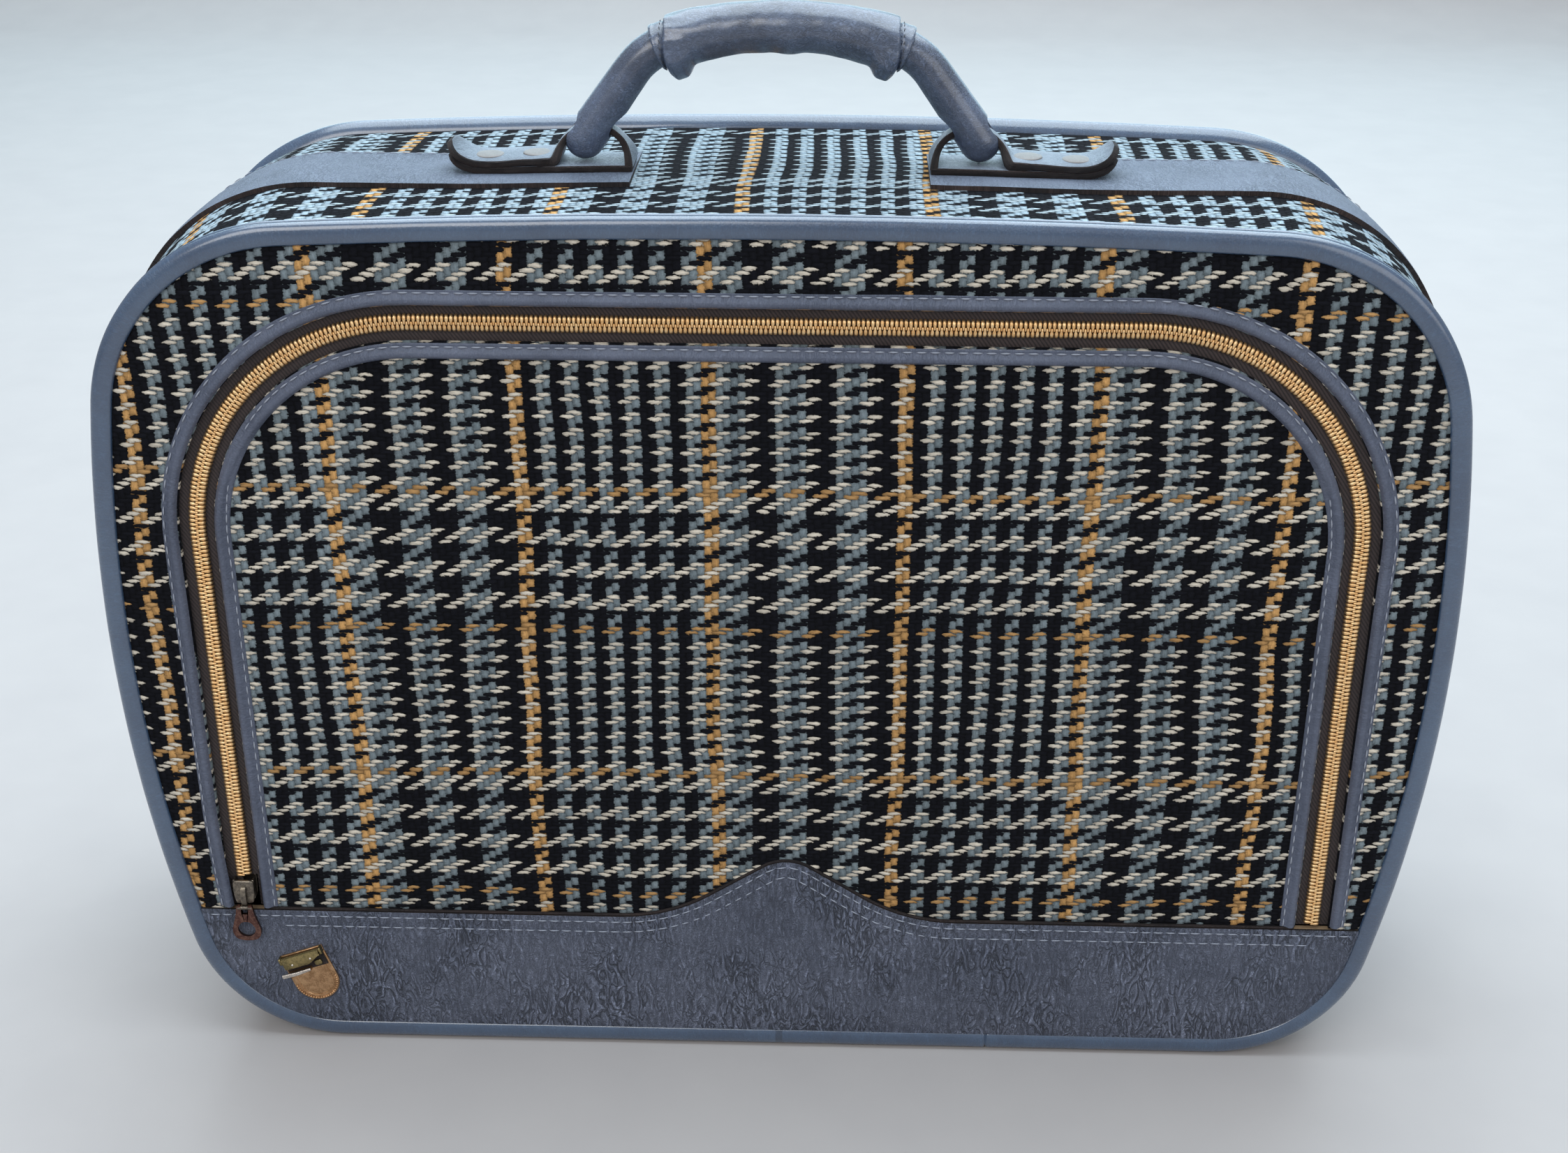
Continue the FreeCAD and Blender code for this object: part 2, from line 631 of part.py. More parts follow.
def drill(shape, radius=RIVET_R):
    for x in rivet_spots():
        shape = shape.cut(rod(radius, (x, Y_MID, HEIGHT - 30), (x, Y_MID, HEIGHT + 20)))
    return shape


def tab_rivets():
    rivets = []
    for x in rivet_spots():
        top = crown_z(x) - STRIP_OUT + 2 * STRAP_T
        low = crown_z(x) - PLATE_IN - RIVET_TAIL
        shank = rod(RIVET_R, (x, Y_MID, low), (x, Y_MID, top + RIVET_HEAD_T / 2))
        head = rod(RIVET_HEAD_R, (x, Y_MID, top), (x, Y_MID, top + RIVET_HEAD_T))
        head = head.cut(slab(STRIP_OUT - 2 * STRAP_T, Y_FRONT, Y_BACK))
        rivets.append(shank.fuse(head))
    return Part.makeCompound(rivets)


def rivet_washers():
    washers = []
    for x in rivet_spots():
        top = crown_z(x) - PLATE_IN - WASHER_GAP
        washer = rod(WASHER_R, (x, Y_MID, top - WASHER_T), (x, Y_MID, top))
        washers.append(washer.cut(rod(RIVET_R, (x, Y_MID, top - WASHER_R), (x, Y_MID, top + WASHER_R))))
    return Part.makeCompound(washers)


# ---------------------------------------------------------------- lock

def place_lock(shape):
    """From the lock's own upright frame to its tilted place on the base panel."""
    shape.translate(V(LOCK_X, F - SKIN_T, LOCK_Z))
    shape.rotate(V(LOCK_X, 0, LOCK_Z), V(0, -1, 0), LOCK_TILT)
    return shape


def shield(half, top, y0, y1):
    low = LOCK_SHOULDER
    edges = [
        Part.LineSegment(V(-half, y0, low), V(-half, y0, top)).toShape(),
        Part.LineSegment(V(-half, y0, top), V(half, y0, top)).toShape(),
        Part.LineSegment(V(half, y0, top), V(half, y0, low)).toShape(),
        Part.Arc(V(half, y0, low), V(0, y0, low - half), V(-half, y0, low)).toShape(),
    ]
    return Part.Face(Part.Wire(edges)).extrude(V(0, y1 - y0, 0))


def lock_plate():
    """Shield-shaped plate with a raised rim, a catch, and two ears for the jaw's pin."""
    hinge_z = LOCK_TOP - HINGE_DROP
    plate = shield(LOCK_HALF, LOCK_TOP, -1.0, 0.0)
    rim = shield(LOCK_HALF, LOCK_TOP, LOCK_RIM_Y, -0.5)
    rim = rim.cut(shield(LOCK_HALF - LOCK_RIM, LOCK_TOP - LOCK_RIM, -FAR, FAR))
    rim = rim.cut(box(-FAR, FAR, -FAR, -1.0, MOUTH_Z, FAR))
    catch = box(-LOCK_HALF / 3, LOCK_HALF / 3, -2.0, -0.5, 2 * MOUTH_Z, 3 * MOUTH_Z)
    shape = plate.fuse([rim, catch])
    for x in (-LOCK_HALF, LOCK_HALF - EAR_T):
        shape = shape.fuse(box(x, x + EAR_T, HINGE_Y, -0.5, hinge_z - HINGE_DROP, hinge_z + HINGE_DROP))
        shape = shape.fuse(rod(HINGE_DROP, (x, HINGE_Y, hinge_z), (x + EAR_T, HINGE_Y, hinge_z)))
    pin = rod(HINGE_R, (-LOCK_HALF, HINGE_Y, hinge_z), (LOCK_HALF, HINGE_Y, hinge_z))
    return place_lock(shape.fuse(pin))


def lock_jaw():
    """Cover that drops over the pull; it turns on a pin along its top edge."""
    hinge_z = LOCK_TOP - HINGE_DROP
    half = LOCK_HALF - JAW_GAP
    front = HINGE_Y - BARREL_R
    barrel = rod(BARREL_R, (-half, HINGE_Y, hinge_z), (half, HINGE_Y, hinge_z))
    cover = box(-half, half, front, front + 1.0, MOUTH_Z, hinge_z)
    lip = box(-half, half, front - 1.0, front + 1.0, MOUTH_Z - 0.8, MOUTH_Z + 0.2)
    shape = barrel.fuse([cover, lip])
    bore = rod(HINGE_R + 0.05, (-LOCK_HALF, HINGE_Y, hinge_z), (LOCK_HALF, HINGE_Y, hinge_z))
    return place_lock(shape.cut(bore))


def lock_studs():
    """Two studs riveted over behind the base board."""
    back = SKIN_T + PANEL_T
    studs = []
    for x in (-STUD_X, STUD_X):
        shank = rod(STUD_R, (x, 0, STUD_Z), (x, back + STUD_HEAD_T / 2, STUD_Z))
        head = rod(STUD_HEAD_R, (x, back, STUD_Z), (x, back + STUD_HEAD_T, STUD_Z))
        studs.append(shank.fuse(head))
    return place_lock(Part.makeCompound(studs))


# ---------------------------------------------------------------- write the pieces

def main():
    os.makedirs("parts", exist_ok=True)
    studs = lock_studs()
    tweed, board, lining = gusset_rings()
    save("front_welt", welt(Y_FRONT, 1))
    save("rear_welt", welt(Y_BACK, -1))
    save("front_frame_wire", frame_wire(Y_FRONT, 1))
    save("rear_frame_wire", frame_wire(Y_BACK, -1))
    save("gusset_tweed", drill(tweed))
    save("gusset_board", drill(board))
    save("gusset_lining", drill(lining))
    save("gusset_strip", drill(gusset_strip()))
    save("handle_plate", drill(handle_plate()))
    save("base_stiffener", base_board())
    save("front_border_panel", front_border())
    save("front_border_lining", front_border_lining())
    save("front_base_vinyl", front_base_vinyl().cut(studs))
    save("front_base_board", front_base_board().cut(studs))
    save("back_panel", back_panel())
    save("back_board", back_board())
    save("back_lining", back_lining())
    save("flap_panel", flap_panel())
    save("flap_lining", flap_lining())
    save("flap_peak_vinyl", peak_vinyl())
    for name, shape in zip_pieces().items():
        save(name, shape)
    save("zip_slider", zip_slider())
    save("zip_pull_tab", pull_tab())
    save("handle_core", handle_core())
    save("handle_tube", handle_tube())
    save("grip_padding", grip_padding())
    save("grip_wrap", grip_wrap())
    right_tab = drill(handle_tab())
    save("handle_tab_right", right_tab)
    save("handle_tab_left", mirror_x(right_tab))
    save("tab_rivets", tab_rivets())
    save("rivet_washers", rivet_washers())
    save("lock_plate", lock_plate())
    save("lock_jaw", lock_jaw())
    save("lock_studs", studs)


main()
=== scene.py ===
import bmesh
import bpy
import math
import numpy as np
from mathutils import Matrix, Vector, noise


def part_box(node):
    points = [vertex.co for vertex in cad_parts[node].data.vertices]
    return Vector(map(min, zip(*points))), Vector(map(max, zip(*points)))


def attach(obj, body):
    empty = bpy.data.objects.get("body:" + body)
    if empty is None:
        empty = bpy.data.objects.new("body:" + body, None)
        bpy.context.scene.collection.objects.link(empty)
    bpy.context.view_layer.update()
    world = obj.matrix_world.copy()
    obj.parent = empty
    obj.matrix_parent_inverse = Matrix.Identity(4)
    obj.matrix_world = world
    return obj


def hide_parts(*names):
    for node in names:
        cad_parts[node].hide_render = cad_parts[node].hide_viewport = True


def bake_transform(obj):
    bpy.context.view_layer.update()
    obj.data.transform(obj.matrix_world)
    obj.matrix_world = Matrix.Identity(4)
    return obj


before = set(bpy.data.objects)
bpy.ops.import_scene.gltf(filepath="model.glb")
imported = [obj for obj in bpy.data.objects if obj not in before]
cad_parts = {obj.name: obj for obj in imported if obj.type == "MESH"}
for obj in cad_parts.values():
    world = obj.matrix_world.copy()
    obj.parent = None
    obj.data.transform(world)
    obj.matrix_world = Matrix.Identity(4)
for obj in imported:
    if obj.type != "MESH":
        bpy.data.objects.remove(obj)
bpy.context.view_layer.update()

# All shapes are worked out in millimetres and scaled to metres when a mesh is made.
MM = 0.001


def edge(node, side, axis):
    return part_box(node)[side][axis] / MM


# ---------------------------------------------------------------- places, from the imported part
FRONT, BACK = edge("front_welt", 0, 1), edge("rear_welt", 1, 1)
FACE, REAR = edge("flap_panel", 0, 1), edge("back_panel", 1, 1)
GUSSET_Y0, GUSSET_Y1 = edge("gusset_tweed", 0, 1), edge("gusset_tweed", 1, 1)
STRIP_Y0, STRIP_Y1 = edge("gusset_strip", 0, 1), edge("gusset_strip", 1, 1)
MID = (FRONT + BACK) / 2
HEIGHT = edge("front_welt", 1, 2)
HALF_WIDTH = edge("front_welt", 1, 0)
FOLD_Z = 65.25
VINYL_FRONT = FACE - 1.2

# ---------------------------------------------------------------- outline and zip, as in the part
WIDEST_Z, SIDE_R, TOP_R, BASE_R, CROWN_R = 196.0, 670.0, 82.0, 63.0, 3900.0
ZIP_X, ZIP_TOP, ZIP_R = 222.5, 324.5, 88.0

# where panels end: inside the outline under the piping, and away from the middle of the zip
TWEED_INSET, LINING_INSET = 8.2, 8.8
TWEED_OFF_ZIP, LINING_OFF_ZIP = 6.9, 7.4
STITCH_PITCH = 5.1


def unit(v):
    """Vectors brought to length one."""
    return v / np.linalg.norm(v, axis=-1, keepdims=True)


def ease(t):
    """Smooth start and end for a share between 0 and 1."""
    return t * t * (3 - 2 * t)


def circle(n):
    return np.linspace(0, 2 * math.pi, n, endpoint=False)


def stations(a, b, step):
    return np.linspace(a, b, max(2, int(round(abs(b - a) / step)) + 1))


def lengths(points):
    """Distance of every point of a line from its first."""
    return np.concatenate([[0], np.cumsum(np.linalg.norm(np.diff(points, axis=0), axis=1))])


def upright(flat, y=0.0):
    """Points (x, z) of the front view, put at depth y."""
    return np.stack(np.broadcast_arrays(flat[..., 0], y, flat[..., 1]), -1)


class Track:
    """Right half of a symmetric line in the XZ plane, with outward normals, measured from its top."""

    def __init__(self, pieces):
        self.p = np.concatenate([p for p, _ in pieces])
        self.n = np.concatenate([n for _, n in pieces])
        self.s = lengths(self.p)
        self.half = self.s[-1]

    def at(self, s, out=0.0):
        """Points at signed distances s from the top, moved outwards, and the normals there."""
        s = np.asarray(s, float)
        mirror = np.stack([np.where(s < 0, -1.0, 1.0), 0 * s + 1], -1)
        p, n = (np.stack([np.interp(np.abs(s), self.s, line[:, k]) for k in (0, 1)], -1)
                for line in (self.p, self.n))
        n = unit(n)
        return (p + n * np.asarray(out, float)[..., None]) * mirror, n * mirror


def run(p0, p1, normal, step=0.5):
    n = max(2, int(math.dist(p0, p1) / step))
    t = np.linspace(0, 1, n)[:, None]
    return np.array(p0) * (1 - t) + np.array(p1) * t, np.tile(normal, (n, 1)).astype(float)


def bend(centre, radius, a0, a1, step=0.5):
    a = np.linspace(a0, a1, max(3, int(abs(a1 - a0) * radius / step)))
    d = np.stack([np.cos(a), np.sin(a)], -1)
    return np.array(centre) + d * radius, d


def outline_track():
    side = (HALF_WIDTH - SIDE_R, WIDEST_Z)
    crown = (0.0, HEIGHT - CROWN_R)
    base = (side[0] + math.sqrt((SIDE_R - BASE_R) ** 2 - (BASE_R - WIDEST_Z) ** 2), BASE_R)
    # the corner arc touches the side arc and the crown arc
    a, b = SIDE_R - TOP_R, CROWN_R - TOP_R
    gap = math.dist(side, crown)
    ux, uz = (crown[0] - side[0]) / gap, (crown[1] - side[1]) / gap
    along = (a * a - b * b + gap * gap) / (2 * gap)
    off = math.sqrt(a * a - along * along)
    top = (side[0] + ux * along - uz * off, side[1] + uz * along + ux * off)
    to_top = math.atan2(top[1] - side[1], top[0] - side[0])
    to_crown = math.atan2(top[1] - crown[1], top[0] - crown[0])
    to_base = math.atan2(base[1] - side[1], base[0] - side[0])
    return Track([bend(crown, CROWN_R, math.pi / 2, to_crown), bend(top, TOP_R, to_crown, to_top),
                  bend(side, SIDE_R, to_top, to_base), bend(base, BASE_R, to_base, -math.pi / 2),
                  run((base[0], 0.0), (0.0, 0.0), (0, -1))])


def zip_track():
    c = (ZIP_X - ZIP_R, ZIP_TOP - ZIP_R)
    return Track([run((0, ZIP_TOP), (c[0], ZIP_TOP), (0, 1)), bend(c, ZIP_R, math.pi / 2, 0),
                  run((ZIP_X, c[1]), (ZIP_X, FOLD_Z + 0.35), (1, 0))])


OUTLINE = outline_track()
ZIP = zip_track()


# ---------------------------------------------------------------- mesh tools
def grid_faces(nu, nv, wrap_u=False, wrap_v=False):
    a, b = np.meshgrid(np.arange(nu if wrap_u else nu - 1), np.arange(nv if wrap_v else nv - 1), indexing="ij")
    a2, b2 = (a + 1) % nu, (b + 1) % nv
    return np.stack([(p * nv + q).ravel() for p, q in ((a, b), (a2, b), (a2, b2), (a, b2))], -1)


def piece(name, body, slot, verts, faces, looks, index=None, cloth=None, sharp=40, replaces=()):
    """One closed mesh, riding on its body. Vertices in millimetres; looks are names in M, parted by spaces.
    cloth is where each vertex lies on the flat material, in millimetres."""
    verts = np.asarray(verts, float).reshape(-1, 3)
    me = bpy.data.meshes.new(name)
    me.from_pydata((verts * MM).tolist(), [], [list(map(int, f)) for f in faces])
    for look in looks.split():
        me.materials.append(M[look])
    if index is not None:
        me.polygons.foreach_set("material_index", np.asarray(index, np.int32))
    if cloth is None:
        cloth = verts[:, [0, 2, 1]]
    at = me.attributes.new("cloth", "FLOAT_VECTOR", "POINT")
    at.data.foreach_set("vector", np.asarray(cloth, np.float32).ravel())
    bm = bmesh.new()
    bm.from_mesh(me)
    bmesh.ops.recalc_face_normals(bm, faces=bm.faces)
    bm.to_mesh(me)
    bm.free()
    me.polygons.foreach_set("use_smooth", np.ones(len(me.polygons), bool))
    if sharp:
        me.set_sharp_from_angle(angle=math.radians(sharp))
    o = bpy.data.objects.new(name, me)
    bpy.context.scene.collection.objects.link(o)
    if body:
        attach(o, body)
    if replaces:
        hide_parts(*replaces)
    return o


def shell(grid, back, wrap=False, rim=False):
    """Closed sheet: a grid of points, the same grid moved by back, and walls round the edge."""
    nu, nv = grid.shape[:2]
    n = nu * nv
    verts = np.concatenate([grid.reshape(-1, 3), (grid + back).reshape(-1, 3)])
    front = grid_faces(nu, nv, wrap)
    cols = np.arange(nu)
    cur, nxt = (cols, (cols + 1) % nu) if wrap else (cols[:-1], cols[1:])
    loops = [(cur * nv + j, nxt * nv + j) for j in (0, nv - 1)]
    if not wrap:
        rows = np.arange(nv - 1)
        loops += [(i * nv + rows, i * nv + rows + 1) for i in (0, nu - 1)]
    walls = np.concatenate([np.stack([p, q, q + n, p + n], -1) for p, q in loops])
    faces = np.concatenate([front, front[:, ::-1] + n, walls])
    index = np.concatenate([np.zeros(2 * len(front)), np.full(len(walls), 1 if rim else 0)])
    return verts, faces, index


def panel(name, body, slot, grid, back, looks, replaces, size=None, wrap=False, rim=False, cloth=None):
    """A sheet of cloth pulled taut; grid is its cut, in mm, and size the cut's width and length."""
    verts, faces, index = shell(grid, np.asarray(back), wrap, rim)
    o = piece(name, body, slot, verts, faces, looks, index, cloth, replaces=replaces)
    g = np.concatenate([grid, grid[:1]]) if wrap else grid
    area = np.linalg.norm(np.cross(g[1:, 1:] - g[:-1, :-1], g[1:, :-1] - g[:-1, 1:]), axis=-1).sum() / 2
    if size is None:
        size = sorted(np.ptp(g.reshape(-1, 3), axis=0))[1:]
    min(float(area), float(size[0] * size[1])) * MM * MM
    return o


def laid(s, y):
    """Cloth coordinates for both faces of a panel: along it and across it."""
    a, b = np.meshgrid(s, y, indexing="ij")
    lay = np.stack([a, b, 0 * a], -1).reshape(-1, 3)
    return np.concatenate([lay, lay])


def tube(rings, wrap=False):
    """Closed tube from rings of points (stations, points round, 3)."""
    nu, nv = rings.shape[:2]
    faces = [list(f) for f in grid_faces(nu, nv, wrap, True)]
    if not wrap:
        faces += [list(range(nv))[::-1], [(nu - 1) * nv + k for k in range(nv)]]
    return rings.reshape(-1, 3), faces


def rod(name, body, slot, rings, looks, wrap=False, **more):
    """A piece made of one tube."""
    verts, faces = tube(rings, wrap)
    return piece(name, body, slot, verts, faces, looks, **more)


def copies(faces, size, n):
    """Faces of n equal meshes of size vertices each."""
    return [[v + size * k for v in f] for k in range(n) for f in faces]


def sweep(track, s, profile, y0, turn=1.0):
    """Rings of a profile (outward, inward-from-y0) carried along a track."""
    p, n = track.at(s)
    return upright(p[:, None] + n[:, None] * profile[..., :1], y0 + turn * profile[..., 1])


def ring_cloth(s, rings):
    """Cloth coordinates of a sweep: along it, and round it."""
    step = np.linalg.norm(np.diff(rings, axis=1), axis=-1)
    t = np.concatenate([np.zeros((len(rings), 1)), np.cumsum(step, axis=1)], axis=1)
    return np.stack([np.repeat(np.asarray(s)[:, None], t.shape[1], 1), t, 0 * t], -1).reshape(-1, 3)


def wobble(points, size, amount, seed=0.0):
    """Smooth noise at points in millimetres, between -amount and amount."""
    flat = np.asarray(points, float).reshape(-1, 3) / size + seed
    values = [noise.noise(Vector(p)) for p in flat]
    return np.array(values).reshape(np.asarray(points).shape[:-1]) * amount


def stitches(name, body, points, along, up, look, length, width, slot="vinyl"):
    """A row of thread stitches, each a small bowed lozenge."""
    side = np.cross(along, up)
    t, a = np.linspace(-1, 1, 5)[:, None], circle(6)
    fat = np.sqrt(np.clip(1.04 - t * t, 0.02, 1))
    bow = 0.22 * (1 - t * t) - 0.05
    local = np.stack([t * length / 2 + 0 * a, np.cos(a) * width * fat, (np.sin(a) * width + bow) * fat], -1)
    local = local.reshape(1, -1, 3)
    verts = (points[:, None] + along[:, None] * local[..., :1] + side[:, None] * local[..., 1:2]
             + up[:, None] * local[..., 2:])
    one = [list(f) for f in grid_faces(5, 6, False, True)] + [[5, 4, 3, 2, 1, 0], [24, 25, 26, 27, 28, 29]]
    return piece(name, body, slot, verts, copies(one, 30, len(points)), look, sharp=0)


def soften(o, width):
    m = o.modifiers.new("soft", "BEVEL")
    m.width = width * MM
    m.segments = 2
    m.limit_method = "ANGLE"
    m.angle_limit = math.radians(32)


def prism(name, body, slot, outline, y0, y1, looks, bevel, replaces=(), hole=None, place=None):
    """Flat plate from an outline in the XZ plane, with softened edges and an optional round hole."""
    outline = np.asarray(outline, float)
    n = len(outline)
    if hole:
        centre, radius = np.array(hole[:2]), hole[2]
        outline = np.concatenate([outline, centre + unit(outline - centre) * radius])
    m = len(outline)
    verts = np.concatenate([upright(outline, y0), upright(outline, y1)])
    faces = []
    for k in range(n):
        j = (k + 1) % n
        faces.append([k, j, m + j, m + k])
        if hole:
            faces += [[n + k, n + j, m + n + j, m + n + k], [k, j, n + j, n + k],
                      [m + k, m + j, m + n + j, m + n + k]]
    if not hole:
        faces += [list(range(n))[::-1], [m + k for k in range(n)]]
    if place:
        verts = place(verts)
    soften(piece(name, body, slot, verts, faces, looks, sharp=32, replaces=replaces), bevel)


def rounded(points, radius, n=5):
    """Closed outline with its corners rounded."""
    points = [np.array(p, float) for p in points]
    out = []
    for k, (p, r) in enumerate(zip(points, np.broadcast_to(radius, len(points)))):
        a, b = points[k - 1] - p, points[(k + 1) % len(points)] - p
        la, lb = np.linalg.norm(a), np.linalg.norm(b)
        r = min(r, la * 0.49, lb * 0.49)
        a, b = p + a / la * r, p + b / lb * r
        out += [(1 - t) ** 2 * a + 2 * t * (1 - t) * p + t * t * b for t in np.linspace(0, 1, n)]
    return np.array(out)


def lathe(radii, heights, n=32):
    """Rings of a turned shape about +Z, as (stations, points, 3)."""
    a = circle(n)
    r, h = np.asarray(radii)[:, None], np.asarray(heights)[:, None]
    return np.stack([r * np.cos(a), r * np.sin(a), h + 0 * a], -1)


def pin(radius, half, at, n):
    """Rings of a small rod along X with rounded-off ends, centred at a point."""
    rings = lathe([0.01, radius, radius, 0.01], [-half, 0.1 - half, half - 0.1, half], n)
    return rings[..., [2, 1, 0]] + at


# ---------------------------------------------------------------- node tools
class Num:
    """A number in a node tree, so that formulas read as formulas."""

    def __init__(self, tree, socket):
        self.t, self.s = tree, socket

    def op(self, kind, *others, clamp=False):
        n = self.t.nodes.new("ShaderNodeMath")
        n.operation = kind
        n.use_clamp = clamp
        for i, v in enumerate((self, *others)):
            if isinstance(v, Num):
                self.t.links.new(v.s, n.inputs[i])
            else:
                n.inputs[i].default_value = v
        return Num(self.t, n.outputs[0])

    def __add__(self, o): return self.op("ADD", o)
    def __sub__(self, o): return self.op("SUBTRACT", o)
    def __mul__(self, o): return self.op("MULTIPLY", o)
    def __truediv__(self, o): return self.op("DIVIDE", o)
    def __lt__(self, o): return self.op("LESS_THAN", o)
    def __gt__(self, o): return self.op("GREATER_THAN", o)
    def mod(self, o): return self.op("FLOORED_MODULO", o)
    def floor(self): return self.op("FLOOR")
    def sin(self): return self.op("SINE")
    def abs(self): return self.op("ABSOLUTE")
    def pow(self, o): return self.op("POWER", o)
    def clip(self): return self.op("MULTIPLY", 1.0, clamp=True)
    def flip(self): return (self * -1.0) + 1.0


class Look:
    """A procedural material under construction."""

    def __init__(self, name, coords="cloth", **principled):
        self.m = bpy.data.materials.new(name)
        self.m.use_nodes = True
        self.t = self.m.node_tree
        self.b = self.t.nodes["Principled BSDF"]
        for key, value in principled.items():
            self.b.inputs[key.replace("_", " ").title().replace("Ior", "IOR")].default_value = value
        if coords == "cloth":
            n = self.t.nodes.new("ShaderNodeAttribute")
            n.attribute_name = "cloth"
            self.co = n.outputs["Vector"]
        else:
            n = self.t.nodes.new("ShaderNodeTexCoord")
            self.co = self.vec("SCALE", n.outputs["Object"])
            self.co.node.inputs["Scale"].default_value = 1 / MM

    def vec(self, kind, a, b=None):
        n = self.t.nodes.new("ShaderNodeVectorMath")
        n.operation = kind
        self.t.links.new(a, n.inputs[0])
        if b is not None:
            n.inputs[1].default_value = b
        return n.outputs[0]

    def xyz(self):
        n = self.t.nodes.new("ShaderNodeSeparateXYZ")
        self.t.links.new(self.co, n.inputs[0])
        return [Num(self.t, o) for o in n.outputs]

    def noise(self, stretch=(1, 1, 1), detail=3.0, rough=0.55, warp=0.0, move=None):
        """Noise along the cloth; move takes it from another place of the same noise."""
        co = self.co if move is None else self.vec("ADD", self.co, move)
        n = self.t.nodes.new("ShaderNodeTexNoise")
        self.t.links.new(self.vec("MULTIPLY", co, stretch), n.inputs["Vector"])
        for key, value in (("Scale", 1.0), ("Detail", detail), ("Roughness", rough), ("Distortion", warp)):
            n.inputs[key].default_value = value
        return Num(self.t, n.outputs["Fac"])

    def cells(self, stretch):
        n = self.t.nodes.new("ShaderNodeTexVoronoi")
        self.t.links.new(self.vec("MULTIPLY", self.co, stretch), n.inputs["Vector"])
        n.inputs["Scale"].default_value = 1.0
        return Num(self.t, n.outputs["Distance"])

    def random(self, value, seed):
        n = self.t.nodes.new("ShaderNodeTexWhiteNoise")
        n.noise_dimensions = "1D"
        self.t.links.new((value + seed).s, n.inputs["W"])
        return Num(self.t, n.outputs["Value"])

    def mix(self, fac, a, b, kind="MIX"):
        n = self.t.nodes.new("ShaderNodeMix")
        n.data_type = "RGBA"
        n.blend_type = kind
        n.clamp_factor = True
        for key, v in ((0, fac), (6, a), (7, b)):
            if isinstance(v, Num):
                self.t.links.new(v.s, n.inputs[key])
            elif hasattr(v, "is_linked"):
                self.t.links.new(v, n.inputs[key])
            elif key == 0:
                n.inputs[key].default_value = v
            else:
                n.inputs[key].default_value = (*v, 1.0)
        return n.outputs[2]

    def shade(self, colour, factor):
        """Colour times a number."""
        n = self.t.nodes.new("ShaderNodeCombineXYZ")
        for socket in n.inputs:
            if isinstance(factor, Num):
                self.t.links.new(factor.s, socket)
            else:
                socket.default_value = factor
        return self.mix(1.0, colour, n.outputs[0], "MULTIPLY")

    def step(self, value, low, high):
        n = self.t.nodes.new("ShaderNodeMapRange")
        n.interpolation_type = "SMOOTHSTEP"
        self.t.links.new(value.s, n.inputs["Value"])
        n.inputs["From Min"].default_value = low
        n.inputs["From Max"].default_value = high
        return Num(self.t, n.outputs["Result"])

    def done(self, colour, height, depth, rough=None):
        """Finish with a colour, a relief of depth millimetres and a roughness."""
        self.t.links.new(colour, self.b.inputs["Base Color"])
        if rough is not None:
            self.t.links.new(rough.s, self.b.inputs["Roughness"])
        n = self.t.nodes.new("ShaderNodeBump")
        n.inputs["Distance"].default_value = depth * MM
        self.t.links.new(height.s, n.inputs["Height"])
        self.t.links.new(n.outputs[0], self.b.inputs["Normal"])
        return self.m


def srgb(r, g, b):
    return tuple(c / 12.92 if c <= 0.04045 else ((c + 0.055) / 1.055) ** 2.4 for c in (r / 255, g / 255, b / 255))


CREAM, BLUE, INK = srgb(199, 191, 177), srgb(116, 128, 134), srgb(17, 18, 24)
MUSTARD, OCHRE = srgb(190, 147, 94), srgb(172, 134, 88)
SECTION = 26.0              # warps from one mustard pair to the next
WEFT_FINE, WEFT_WIDE = 38.0, 34.0       # wefts of a fine and of a wide section


